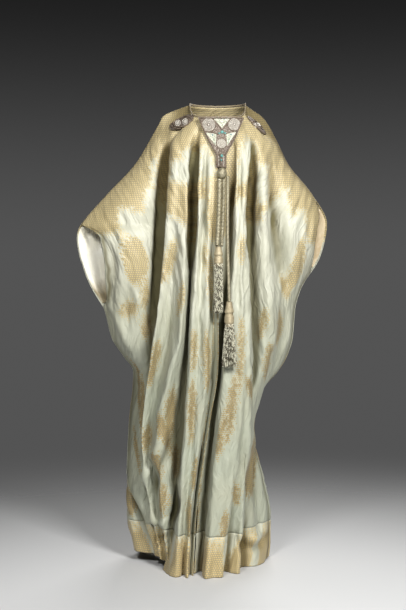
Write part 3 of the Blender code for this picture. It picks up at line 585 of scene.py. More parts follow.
@dataclass(frozen=True)
class Brocade:
    """Silk brocade: a pale satin ground, and gold areas with a raised lattice of floats."""

    name: str
    ground: Colour = (0.575, 0.568, 0.46)
    ground_deep: Colour = (0.40, 0.40, 0.295)
    ground_low: Colour = (0.375, 0.395, 0.305)
    gold: Colour = (0.60, 0.485, 0.235)
    gold_deep: Colour = (0.25, 0.175, 0.062)
    gold_low: Colour = (0.395, 0.285, 0.105)
    gold_low_deep: Colour = (0.15, 0.098, 0.03)
    low_from: float = 0.38
    low_to: float = 0.92
    float_length: float = 0.0072
    float_width: float = 0.0063
    edge_step: float = 0.0055
    edge_step_tall: float = 0.0088
    edge_jag: float = 0.013
    edge_soft: float = 0.0040
    edge_dots: float = 0.012
    row_slip: float = 0.15
    broad_scale: float = 7.0
    warp_across: float = 900.0
    warp_along: float = 30.0
    crinkle_across: float = 46.0
    crinkle_along: float = 13.0
    press_across: float = 38.0
    press_along: float = 6.5
    press_lean: float = 0.10
    press_sharp: float = 8.0
    # Tint multiplied into the colour where painted shade falls in the folds and crease troughs
    hollow: Colour = (0.25, 0.22, 0.12)

    def make(self) -> Material:
        """Build the material, which reads the cloth UV map and the gold and painted shade attributes."""
        shader = Shader(self.name)
        across, along = shader.cloth_place()
        flat = shader.vector(across, along)
        step = (across / self.edge_step).math("FLOOR")
        jag = shader.chance(step, (along / self.edge_step_tall).math("FLOOR"))
        row = (along / self.float_width).math("FLOOR")
        place = across / self.float_length + (row * 0.5 + shader.chance(row, row) * self.row_slip)
        turn = (place.math("FRACT") * math.pi).math("SINE")
        rise = ((along / self.float_width).math("FRACT") * math.pi).math("SINE")
        thread = (turn * rise).ramp(0.12, 0.72)
        dots = (thread - 0.5) * self.edge_dots
        edge = shader.attribute("gold") + (jag - 0.5) * self.edge_jag + dots
        cover = edge.ramp(-self.edge_soft, self.edge_soft)
        broad = shader.noise(flat, self.broad_scale, 3.0)
        warp = shader.noise(shader.vector(across * self.warp_across, along * self.warp_along), 1.0, 2.0)
        small = shader.vector(across * self.crinkle_across, along * self.crinkle_along)
        crinkle = shader.noise(small, 1.0, 4.0)
        lean = across + along * self.press_lean + (broad - 0.5) * self.press_lean
        line = shader.noise(shader.vector(lean * self.press_across, along * self.press_along), 1.0, 2.0)
        pressed = 1.0 - ((line - 0.5) * self.press_sharp).math("ABSOLUTE").ramp(0.0, 1.0)
        # Painted shade from the mesh: how far the point lies down between folds or in a crease trough
        fold = shader.attribute("hollow")
        low = (along * -1.0).ramp(self.low_from, self.low_to)
        pale = shader.mix(self.ground, self.ground_low, low)
        ground = shader.mix(self.ground_deep, pale, (broad * 1.1 + warp * 0.5).ramp(0.35, 1.1))
        worn = (thread * 0.85 + (broad - 0.5) * 0.5 + (warp - 0.5) * 0.3).ramp(0.0, 1.0)
        deep = shader.mix(self.gold_deep, self.gold_low_deep, low)
        gold = shader.mix(deep, shader.mix(self.gold, self.gold_low, low), worn)
        gold_area = cover * (0.66 + thread * 0.34)
        soft = shader.bump(crinkle * (1.0 - cover * 0.3) + pressed * 0.24 * (1.0 - cover * 0.7), 0.009, 0.65)
        colour = shader.mix(ground, gold, gold_area)
        return shader.finish(
            # Painted shade multiplied into the colour in the folds, which also turn rougher there
            base_color=shader.mix(colour, self.hollow, fold, "MULTIPLY"),
            roughness=0.52 - cover * 0.04 + (warp - 0.5) * 0.16 + fold * 0.35,
            metallic=cover * 0.06,
            normal=shader.bump(cover * (thread * 0.7 + 0.5) + warp * 0.22, 0.0007, 0.55, soft),
            sheen_weight=0.08,
            sheen_roughness=0.45,
        )


@dataclass(frozen=True)
class Satin:
    """Smooth glossy satin with a soft crumple and fine weave lines."""

    name: str
    light: Colour
    deep: Colour
    roughness: float = 0.30
    # A painted golden reflection that the satin takes on towards its foot
    foot: Colour = (0.40, 0.33, 0.20)
    foot_from: float = 1.0
    foot_to: float = 1.1

    def make(self) -> Material:
        """Build the material, which reads the cloth UV map and darkens along it towards its foot, a painted
        golden reflection.
        """
        shader = Shader(self.name)
        across, along = shader.cloth_place()
        crumple = shader.noise(shader.vector(across, along * 0.6), 30.0, 3.0)
        weave = shader.noise(shader.vector(across * 60.0, along * 1300.0), 1.0, 2.0)
        broad = shader.noise(shader.vector(across, along), 11.0, 1.0)
        colour = shader.mix(self.deep, self.light, (broad * 0.9 + crumple * 0.5).ramp(0.3, 1.0))
        # Painted golden reflection, blended in along the cloth near the foot
        foot = (along + (crumple - 0.5) * 0.08).ramp(self.foot_from, self.foot_to)
        return shader.finish(
            base_color=shader.mix(colour, self.foot, foot),
            roughness=self.roughness + (weave - 0.5) * 0.12,
            normal=shader.bump(crumple + weave * 0.05, 0.012, 0.6),
            sheen_weight=0.1,
        )


@dataclass(frozen=True)
class MetalThread:
    """Dull silver-gold thread wound round a core, with darker gaps between the turns."""

    name: str
    light: Colour
    deep: Colour
    turns_per_metre: float
    slant: float = 2.0
    metallic: float = 0.45
    strand_tone: float = 0.0
    knots_per_metre: float = 190.0

    def make(self) -> Material:
        """Build the material: UV across runs once round the piece, and along is in metres."""
        shader = Shader(self.name)
        across, along = shader.cloth_place()
        turn = (along * self.turns_per_metre + across * self.slant) * (2 * math.pi)
        wound = turn.math("SINE") * 0.5 + 0.5
        place = shader.object_place()
        tarnish = shader.noise(place, 90.0, 3.0)
        glint = shader.noise(place, 900.0, 1.0)
        knot = (along * self.knots_per_metre + across.math("FLOOR") * 0.37).math("FLOOR")
        tone = (shader.chance(across.math("FLOOR"), knot) - 0.5) * self.strand_tone
        shade = (wound * 0.6 + tarnish * 0.5 + (glint - 0.5) * 0.5 + tone).ramp(0.15, 0.95)
        return shader.finish(
            base_color=shader.mix(self.deep, self.light, shade),
            roughness=0.34 + tarnish * 0.22,
            metallic=self.metallic,
            normal=shader.bump(wound + glint * 0.4, 0.0005, 0.7),
        )


@dataclass(frozen=True)
class BeadedGround:
    """Close metal-thread embroidery: small dull beads and coils over a brown ground."""

    name: str
    light: Colour = (0.56, 0.50, 0.42)
    deep: Colour = (0.13, 0.095, 0.07)
    bead_scale: float = 420.0
    pale: Colour = (0.62, 0.62, 0.50)
    pale_deep: Colour = (0.30, 0.33, 0.22)
    pale_areas: tuple[tuple[tuple[float, float], ...], ...] = ()

    def inside(self, x: Value, z: Value, corners: tuple) -> Value:
        """How far inside a triangle of (x, z) a point lies, negative outside."""
        nearest = None
        for (x0, z0), (x1, z1) in zip(corners, corners[1:] + corners[:1]):
            long = math.hypot(x1 - x0, z1 - z0)
            a, b = (z1 - z0) / long, -(x1 - x0) / long
            away = x * a + z * b - (x0 * a + z0 * b)
            nearest = away if nearest is None else nearest.math("MINIMUM", away)
        return nearest

    def make(self) -> Material:
        """Build the material on Object coordinates."""
        shader = Shader(self.name)
        place = shader.object_place()
        x, _, z = shader.axes(place)
        bead = shader.cells(place, self.bead_scale)
        coil = shader.noise(place, 160.0, 2.0)
        shade = (1.0 - bead * 1.5 + (coil - 0.5) * 0.9).ramp(0.2, 0.9)
        colour = shader.mix(self.deep, self.light, shade)
        for corners in self.pale_areas:
            area = self.inside(x, z, corners).ramp(-0.0004, 0.0004)
            worn = shader.noise(place, self.bead_scale, 2.0).ramp(0.3, 0.6)
            threads = shader.mix(self.pale_deep, self.pale, worn)
            colour = shader.mix(colour, threads, area)
        return shader.finish(
            base_color=colour,
            roughness=0.36 + coil * 0.2,
            metallic=0.35,
            normal=shader.bump(1.0 - bead, 0.0012, 0.9),
        )


@dataclass(frozen=True)
class BeadFinish:
    """A small bead or stone: one colour, a little uneven, with a clear gloss."""

    name: str
    light: Colour
    deep: Colour
    roughness: float = 0.25
    metallic: float = 0.0

    def make(self) -> Material:
        """Build the material on Object coordinates."""
        shader = Shader(self.name)
        place = shader.object_place()
        uneven = shader.noise(place, 260.0, 2.0)
        return shader.finish(
            base_color=shader.mix(self.deep, self.light, uneven.ramp(0.25, 0.75)),
            roughness=self.roughness + (uneven - 0.5) * 0.2,
            metallic=self.metallic,
            normal=shader.bump(uneven, 0.0006, 0.4),
        )


@dataclass(frozen=True)
class StudioFloor:
    """A plain pale floor that fades out into the backdrop at a distance from the coat."""

    name: str = "studio_floor"
    pale: Colour = (0.62, 0.62, 0.615)
    middle_y: float = -0.6
    pale_radius: float = 0.6
    clear_radius: float = 3.2

    def make(self) -> Material:
        """Build the material on Object coordinates."""
        shader = Shader(self.name)
        place = shader.object_place()
        x, y, _ = shader.axes(place)
        forward = y - self.middle_y
        away = (x * x + forward * forward).math("SQRT")
        grain = shader.noise(place, 3.0, 3.0)
        share = 1.0 - away.ramp(self.pale_radius, self.clear_radius)
        return shader.finish(
            base_color=self.pale,
            roughness=0.62 + (grain - 0.5) * 0.1,
            alpha=share.math("POWER", 2.0),
            normal=shader.bump(grain, 0.001, 0.1),
        )


@dataclass(frozen=True)
class Backdrop:
    """A plain grey surround that darkens upwards."""

    name: str = "studio_backdrop"
    low: Colour = (0.088, 0.088, 0.088)
    high: Colour = (0.012, 0.012, 0.012)
    low_z: float = -0.8
    high_z: float = 3.3

    def make(self) -> Material:
        """Build the material on Object coordinates: it glows faintly and takes no light."""
        shader = Shader(self.name)
        _, _, z = shader.axes(shader.object_place())
        return shader.finish(
            base_color=(0.0, 0.0, 0.0),
            roughness=1.0,
            specular_ior_level=0.0,
            emission_color=shader.mix(self.low, self.high, z.ramp(self.low_z, self.high_z)),
            emission_strength=1.0,
        )


def cubic(t: np.ndarray, ends: tuple, slopes: tuple) -> np.ndarray:
    """A cubic between two values, with a slope over the whole span at each, at shares t of it."""
    start = (1 + 2 * t) * (1 - t) ** 2 * ends[0] + t * (1 - t) ** 2 * slopes[0]
    return start + t * t * (3 - 2 * t) * ends[1] + t * t * (t - 1) * slopes[1]


@dataclass(frozen=True)
class SmoothCurve:
    """A curve through values at rising places that never overshoots them."""

    places: tuple[float, ...]
    values: tuple[float, ...]

    def __call__(self, at: np.ndarray) -> np.ndarray:
        """The curve's values at some places."""
        x = np.array(self.places, float)
        y = np.array(self.values, float)
        step = np.diff(x)
        slope = np.diff(y) / step
        tangent = np.zeros_like(y)
        tangent[0], tangent[-1] = slope[0], slope[-1]
        turning = slope[1:] * slope[:-1] <= 0
        after = np.where(turning, 1.0, slope[1:])
        before = np.where(turning, 1.0, slope[:-1])
        tangent[1:-1] = np.where(turning, 0.0, 2 / (1 / after + 1 / before))
        place = np.clip(at, x[0], x[-1])
        i = np.clip(np.searchsorted(x, place, side="right") - 1, 0, len(step) - 1)
        t = (place - x[i]) / step[i]
        return cubic(t, (y[i], y[i + 1]), (step[i] * tangent[i], step[i] * tangent[i + 1]))


def through(keys: np.ndarray, steps: list[int]) -> np.ndarray:
    """Points along smooth curves through rows of key points.

    Args:
        keys: Key points, with the curve running along the last axis but one.
        steps: How many points each span is cut into.

    Returns:
        The points, with the last key at the end.
    """
    chord = np.diff(keys, axis=-2)
    long = np.maximum(np.linalg.norm(chord, axis=-1, keepdims=True), 1e-6)
    slope = chord / long
    tangent = np.empty_like(keys)
    tangent[..., 0, :], tangent[..., -1, :] = slope[..., 0, :], slope[..., -1, :]
    before, after = long[..., :-1, :], long[..., 1:, :]
    tangent[..., 1:-1, :] = (after * slope[..., :-1, :] + before * slope[..., 1:, :]) / (before + after)
    found = []
    for i, count in enumerate(steps):
        t = (np.arange(count) / count)[:, None]
        first, second, span = slice(i, i + 1), slice(i + 1, i + 2), long[..., i : i + 1, :]
        ends = keys[..., first, :], keys[..., second, :]
        found.append(cubic(t, ends, (span * tangent[..., first, :], span * tangent[..., second, :])))
    return np.concatenate([*found, keys[..., -1:, :]], axis=-2)


def arc_lengths(grid: np.ndarray, axis: int) -> np.ndarray:
    """The length along each row or column of a grid, from its start."""
    steps = np.linalg.norm(np.diff(grid, axis=axis), axis=-1)
    lengths = np.cumsum(steps, axis=axis)
    return np.concatenate([np.zeros_like(lengths.take([0], axis=axis)), lengths], axis=axis)


def evenly(path: np.ndarray, count: int) -> tuple[np.ndarray, np.ndarray]:
    """Lengths and points at even steps along a path."""
    length = arc_lengths(path, 0)
    even = np.linspace(0, length[-1], count)
    return even, np.stack([np.interp(even, length, path[:, k]) for k in range(3)], axis=1)


def turns(count: int) -> np.ndarray:
    """Angles at even steps once round."""
    return np.linspace(0, 2 * np.pi, count, endpoint=False)


def from_segment(x: np.ndarray, z: np.ndarray, start: tuple, end: tuple) -> tuple[np.ndarray, np.ndarray]:
    """The share of a segment of (x, z) that is nearest to each point, and how far away it is."""
    dx, dz = end[0] - start[0], end[1] - start[1]
    t = np.clip(((x - start[0]) * dx + (z - start[1]) * dz) / (dx * dx + dz * dz), 0, 1)
    return t, np.hypot(x - start[0] - t * dx, z - start[1] - t * dz)


def normals_of(grid: np.ndarray) -> np.ndarray:
    """The unit normal at each point of a grid."""
    normal = np.cross(np.gradient(grid, axis=1), np.gradient(grid, axis=0))
    return normal / np.maximum(np.linalg.norm(normal, axis=2, keepdims=True), 1e-12)


def framed(points: np.ndarray) -> np.ndarray:
    """Points given by their height above the floor, moved to the frame at the neck."""
    return np.asarray(points, float) - np.array([0.0, 0.0, NECK_HEIGHT])


@dataclass
class CoatShape:
    """The form of the whole coat: level sections, folds, cuffs, vent and neckline."""

    neck_front: float = 0.10
    neck_front_drop: float = 0.050
    neck_front_round: float = 2.4
    neck_forward_round: float = 0.7
    neck_back_rise: float = -0.002
    neck_middle: float = 0.008
    front_parting: float = 0.0015
    neck_blend: float = 1.24
    lift_reach: float = 0.26
    cuff_mouth: float = 0.045
    cuff_mouth_back: float = 0.29
    cuff_mouth_share: float = 1 / 6
    vent_top: float = 0.27
    vent_underlap: float = 0.022
    vent_underlap_from: float = 0.03
    vent_flatten: float = 0.28
    vent_forward: float = 0.07
    wing_bulge: float = 0.05
    wing_bulge_share: float = 0.22
    wing_spans: int = 3
    body_reach: float = 0.27
    back_folds: int = 6
    back_fold_depth: float = 0.024
    back_fold_phase: float = 0.6
    back_lift: float = 0.03
    back_lift_share: float = 1 / 3
    turn_share: float = 0.09
    curves: dict[str, SmoothCurve] = field(default_factory=dict)

    def __post_init__(self) -> None:
        """Draw one smooth curve over the height for each column of the sections."""
        rows = sorted(SECTIONS, key=lambda row: row.height)
        heights = tuple(row.height for row in rows)
        for column in Section._fields[1:]:
            self.curves[column] = SmoothCurve(heights, tuple(getattr(row, column) for row in rows))

    def at(self, column: str, height: np.ndarray) -> np.ndarray:
        """The value of one of the sections' columns at some heights."""
        return self.curves[column](height)

    def neck_point(self, share: float, side: Side) -> Point:
        """A point of the front neckline, from the neck point at share 0 to the front at 1."""
        angle = share * math.pi / 2
        wide = float(self.at("x_" + side.value, NECK_HEIGHT))
        parting = -self.front_parting if side is Side.RIGHT else self.front_parting
        middle = self.neck_middle + parting
        x = middle + (wide - middle) * math.cos(angle)
        turned = math.sin(angle)
        drop = self.neck_front_drop * (1 - (1 - turned) ** self.neck_front_round)
        return x, -self.neck_front * turned**self.neck_forward_round, NECK_HEIGHT - drop

    def lifted(self, height: np.ndarray, neck_height: float, lift: np.ndarray) -> np.ndarray:
        """True heights of a section's points, tilted up to the neckline and clear of the floor."""
        rise = (height - self.neck_blend) / (NECK_HEIGHT - self.neck_blend)
        drop = np.maximum(0.0, 1.0 - height / self.lift_reach)
        tilted = self.neck_blend + rise * (neck_height - self.neck_blend)
        return np.where(height > self.neck_blend, tilted, height + lift * drop * drop)

    def front_side(self, side: Side, height: np.ndarray) -> tuple[np.ndarray, np.ndarray]:
        """Where a front meets the side: on the outline, or set back at cuff and vent."""
        inward = 1.0 if side is Side.RIGHT else -1.0
        cuff = self.at("cuff_" + side.value, height)
        vent = np.maximum(0.0, self.at("vent", height)) * (side is Side.RIGHT)
        widest = max(getattr(row, "cuff_" + side.value) for row in SECTIONS)
        widest_vent = max(row.vent for row in SECTIONS)
        forward = self.cuff_mouth * cuff / widest + self.vent_forward * np.sqrt(vent / widest_vent)
        x = self.at("x_" + side.value, height) + inward * (cuff + vent)
        return x, self.at("y_" + side.value, height) - forward

    def front_keys(self, side: Side, height: np.ndarray) -> np.ndarray:
        """The key points of a front at some heights, from the side to the front edge."""
        folds = FOLDS[side]
        places = (*reversed(FOLD_HEIGHTS), NECK_HEIGHT)
        last = self.wing_spans + len(folds) - 1
        keys = np.empty((len(height), last + 1, 3))
        for i, fold in enumerate(folds, self.wing_spans):
            x_neck, y_neck, z_neck = self.neck_point(i / last, side)
            x = SmoothCurve(places, (*(v * MILLIMETRE for v in reversed(fold.x)), x_neck))
            y = SmoothCurve(places, (*(v * MILLIMETRE for v in reversed(fold.y)), y_neck))
            z = self.lifted(height, z_neck, fold.lift * MILLIMETRE)
            keys[:, i] = np.stack([x(height), y(height), z], axis=1)
        x_edge, y_edge = self.front_side(side, height)
        x_fold, y_fold = keys[:, self.wing_spans, 0], keys[:, self.wing_spans, 1]
        bulge = np.minimum(self.wing_bulge, self.wing_bulge_share * np.abs(x_fold - x_edge))
        yoke = FOLD_HEIGHTS[0]
        near = np.maximum(0.0, (height - yoke) / (NECK_HEIGHT - yoke)) ** 2
        for k in range(self.wing_spans):
            t = k / self.wing_spans
            x_neck, y_neck, z_neck = self.neck_point(k / last, side)
            x = x_edge + (x_fold - x_edge) * t
            y = y_edge + (y_fold - y_edge) * t - bulge * math.sin(math.pi * t)
            if k:
                x, y = x + (x_neck - x) * near, y + (y_neck - y) * near
            z = self.lifted(height, z_neck, folds[0].lift * MILLIMETRE)
            keys[:, k] = np.stack([x, y, z], axis=1)
        return keys

    def back_place(self, share: np.ndarray, height: np.ndarray) -> tuple[np.ndarray, np.ndarray]:
        """x and y of the back without its folds: share 0 is the right side, 1 the left."""
        x_right, x_left = self.at("x_right", height), self.at("x_left", height)
        middle, half = (x_right + x_left) / 2, (x_left - x_right) / 2
        blend = 0.5 - 0.5 * np.cos(np.pi * np.maximum(share, 0.0))
        y_edge = (1 - blend) * self.at("y_right", height) + blend * self.at("y_left", height)
        x = middle - half * np.cos(np.pi * share)
        turned = np.sin(np.pi * share)
        side, deep = self.at("side", height), self.at("back", height)
        reach = np.minimum(1.0, np.abs(x - middle) / self.body_reach)
        bell = np.maximum(0.0, np.cos(reach * np.pi / 2)) ** 2
        round_back = y_edge + side * turned + (deep - side) * bell
        return x, np.where(share < 0, y_edge + self.vent_flatten * side * turned, round_back)

    def back_shares(self, height: np.ndarray, turn_columns: int, columns: int) -> np.ndarray:
        """The share of each column of the back, which runs on past the side at the vent."""
        vent = np.where(height > self.vent_top, 0.0, np.maximum(0.0, self.at("vent", height)))
        half = (self.at("x_left", height) - self.at("x_right", height)) / 2
        reach = vent + self.vent_underlap * np.minimum(1.0, vent / self.vent_underlap_from)
        start = -np.arccos(1 - reach / half) / np.pi
        steps = np.linspace(0, 1, turn_columns + 1)[:-1]
        turn = start[:, None] + (self.turn_share - start[:, None]) * steps
        rest = np.linspace(self.turn_share, 1.0, columns + 1)
        return np.concatenate([turn, np.broadcast_to(rest, (len(height), columns + 1))], axis=1)

    def back_grid(self, height: np.ndarray, turn_columns: int, columns: int) -> np.ndarray:
        """The middle surface of the back with its falling folds."""
        share = self.back_shares(height, turn_columns, columns)
        tall = height[:, None]
        x, y = self.back_place(share, tall)
        ahead, behind = self.back_place(share + 1e-3, tall), self.back_place(share - 1e-3, tall)
        along = np.stack([ahead[0] - behind[0], ahead[1] - behind[1]])
        along = along / np.linalg.norm(along, axis=0)
        fall = SmoothCurve((0.0, 0.5, 1.1, NECK_HEIGHT), (1.0, 0.62, 0.25, 0.0))(tall)
        wave = np.cos(2 * np.pi * self.back_folds * share + self.back_fold_phase)
        taper = np.sqrt(np.maximum(0.0, np.sin(np.pi * np.clip(share, 0.0, 1.0))))
        out = self.back_fold_depth * fall * wave * taper
        rise = self.neck_back_rise * np.maximum(0.0, np.sin(np.pi * share))
        lift = self.back_lift * np.maximum(0.0, 1 - np.maximum(share, 0.0) / self.back_lift_share)
        z = self.lifted(tall, NECK_HEIGHT + rise, lift)
        grid = np.stack([x - along[1] * out, y + along[0] * out, np.broadcast_to(z, x.shape)], axis=2)
        mouth = np.clip(1 - np.linspace(0, 1, share.shape[1]) / self.cuff_mouth_share, 0, 1)
        right, left = self.at("cuff_right", tall), self.at("cuff_left", tall)
        grid[:, :, 1] += self.cuff_mouth_back * (right * mouth + left * mouth[::-1])
        return grid


SHAPE = CoatShape()


@dataclass
class MeshParts:
    """Points, faces and UV places of many small parts that become one mesh."""

    points: list[np.ndarray] = field(default_factory=list)
    faces: list[np.ndarray] = field(default_factory=list)
    places: list[np.ndarray] = field(default_factory=list)
    count: int = 0

    def add(self, points: np.ndarray, faces: np.ndarray, places: np.ndarray) -> None:
        """Add one part: its points, quads by point number, and a UV place for each point."""
        self.points.append(points)
        self.faces.append(np.asarray(faces) + self.count)
        self.places.append(places)
        self.count += len(points)

    def add_tube(self, rings: np.ndarray, around: np.ndarray, along: np.ndarray) -> None:
        """Add a tube through rings of points, closed at both ends.

        Args:
            rings: Its points, by ring and side.
            around: The UV place across, by side.
            along: The UV place along, by ring.
        """
        count, sides = rings.shape[:2]
        last = (count - 1) * sides
        caps = [(0, k, k + 1, k + 1) for k in range(1, sides - 1)]
        caps += [(last, last + k + 1, last + k, last + k) for k in range(1, sides - 1)]
        faces = np.vstack([grid_faces(count, sides, closed=True), np.array(caps)])
        places = np.stack([np.tile(around, (count, 1)), np.tile(along[:, None], sides)], axis=2)
        self.add(rings.reshape(-1, 3), faces, places.reshape(-1, 2))

    def make(self, name: str, material: Material) -> Piece:
        """Join the parts into one smooth object at the origin."""
        faces = [face for part in self.faces for face in part.tolist()]
        faces = [face[:3] if face[-1] == face[-2] else face for face in faces]
        return make_object(name, np.concatenate(self.points), faces, np.concatenate(self.places), material)

    def make_closed(self, name: str, material: Material, slot: str, *nodes: str) -> Piece:
        """Join closed parts into one piece, turn its faces outwards and dress it."""
        piece = self.make(name, material)
        outward(piece)
        dress(piece, slot, *nodes)
        return piece


def make_object(
    name: str,
    points: np.ndarray,
    faces: list,
    places: np.ndarray,
    material: Material,
) -> Piece:
    """Make one smooth mesh object at the origin.

    Args:
        name: The object's name.
        points: Its points in the coat's frame.
        faces: Its faces by point number.
        places: A UV place for each point, for the map named cloth.
        material: Its finish.

    Returns:
        The new object, linked to the scene.
    """
    mesh = bpy.data.meshes.new(name)
    mesh.from_pydata(points.tolist(), [], faces)
    corners = np.empty(len(mesh.loops), np.int32)
    mesh.loops.foreach_get("vertex_index", corners)
    layer = mesh.uv_layers.new(name="cloth")
    layer.uv.foreach_set("vector", places[corners].astype(np.float32).ravel())
    mesh.shade_smooth()
    mesh.materials.append(material)
    made = bpy.data.objects.new(name, mesh)
    bpy.context.scene.collection.objects.link(made)
    return made


def grid_faces(rows: int, columns: int, closed: bool = False, flip: bool = False) -> np.ndarray:
    """The quads of a grid of points, closed round its columns or not."""
    span = columns if closed else columns - 1
    r, c = np.meshgrid(np.arange(rows - 1) * columns, np.arange(span), indexing="ij")
    below, after = r + columns, (c + 1) % columns
    quads = np.stack([r + c, below + c, below + after, r + after], axis=2).reshape(-1, 4)
    return quads[:, ::-1] if flip else quads


def cloth_piece(name: str, grid: np.ndarray, places: np.ndarray, material: Material, flip: bool) -> Piece:
    """One piece of cloth over a grid of points and UV places, thickened to a thin wall."""
    faces = grid_faces(*grid.shape[:2], flip=flip).tolist()
    piece = make_object(name, framed(grid.reshape(-1, 3)), faces, places.reshape(-1, 2), material)
    wall = piece.modifiers.new("wall", "SOLIDIFY")
    wall.thickness = WALL
    wall.offset = 0.0
    return piece


def outward(piece: Piece) -> None:
    """Turn a closed piece's faces outwards."""
    bpy.ops.object.select_all(action="DESELECT")
    piece.select_set(True)
    bpy.context.view_layer.objects.active = piece
    bpy.ops.object.mode_set(mode="EDIT")
    bpy.ops.mesh.select_all(action="SELECT")
    bpy.ops.mesh.normals_make_consistent(inside=False)
    bpy.ops.object.mode_set(mode="OBJECT")
    piece.select_set(False)


def dress(piece: Piece, slot: str, *nodes: str) -> None:
    """Let a finished piece ride with the coat and stand for its solids."""
    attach(piece, BODY)
    if nodes:
        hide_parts(*nodes)
    log.info("made %s with %d points", piece.name, len(piece.data.vertices))


@dataclass
class Pattern:
    """The woven pattern of one panel, as a distance into the gold at each point of its grid."""

    panel: Panel
    grid: np.ndarray
    across: np.ndarray
    along: np.ndarray
    reach: float = 0.03
    leaf_search: float = 0.008
    leaf_round: float = 0.6
    leaf_notches: float = 4.5
    leaf_notch_depth: float = 0.42
    leaf_notch_slant: float = 14.0

    def patch(self, corners: tuple) -> np.ndarray:
        """Signed distance into a polygon of (x, height), seen from the front."""
        shape = np.array(corners, float) * MILLIMETRE
        x, z = self.grid[..., 0], self.grid[..., 2]
        nearest = np.full(x.shape, np.inf)
        inside = np.zeros(x.shape, bool)
        for start, end in zip(shape, np.roll(shape, -1, axis=0)):
            nearest = np.minimum(nearest, from_segment(x, z, start, end)[1])
            (x0, z0), (x1, z1) = start, end
            if z0 != z1:
                crossed = (z0 > z) != (z1 > z)
                inside ^= crossed & (x < x0 + (z - z0) * (x1 - x0) / (z1 - z0))
        return np.where(inside, nearest, -nearest)

    def leaf(self, leaf: Leaf) -> np.ndarray:
        """Signed distance into a notched leaf that lies on the folded cloth."""
        x, z = leaf.x * MILLIMETRE, leaf.height * MILLIMETRE
        away = np.hypot(self.grid[..., 0] - x, self.grid[..., 2] - z)
        close = away < max(self.leaf_search, float(away.min()) + MILLIMETRE)
        outer = -1.0 if self.panel is Panel.BACK else 1.0
        front = np.where(close, outer * self.grid[..., 1], np.inf)
        row, column = np.unravel_index(np.argmin(front), front.shape)
        a = self.across - self.across[:, column : column + 1]
        b = self.along - self.along[row, column]
        turn = math.radians(leaf.turn)
        aside = a * math.cos(turn) - b * math.sin(turn)
        lengthwise = a * math.sin(turn) + b * math.cos(turn)
        half_length = leaf.length * MILLIMETRE / 2
        t = lengthwise / half_length
        half = leaf.width * MILLIMETRE / 2 * np.maximum(0.0, 1 - t * t) ** self.leaf_round
        slanted = (t + np.abs(aside) * self.leaf_notch_slant) * self.leaf_notches
        notch = np.abs(slanted % 1.0 - 0.5) * 2
        half = half * (1 - self.leaf_notch_depth * notch)
        return np.minimum(half - np.abs(aside), (1 - np.abs(t)) * half_length)

    def gold(self) -> np.ndarray:
        """The distance into the gold at each point, cut off at the reach."""
        found = np.full(self.grid.shape[:2], -self.reach)
        for patch in PATCHES[self.panel]:
            depth = self.patch(patch.corners)
            found = np.maximum(found, depth) if patch.gold else np.minimum(found, -depth)
        for leaf in LEAVES[self.panel]:
            found = np.maximum(found, self.leaf(leaf))
        return np.clip(found, -self.reach, self.reach)


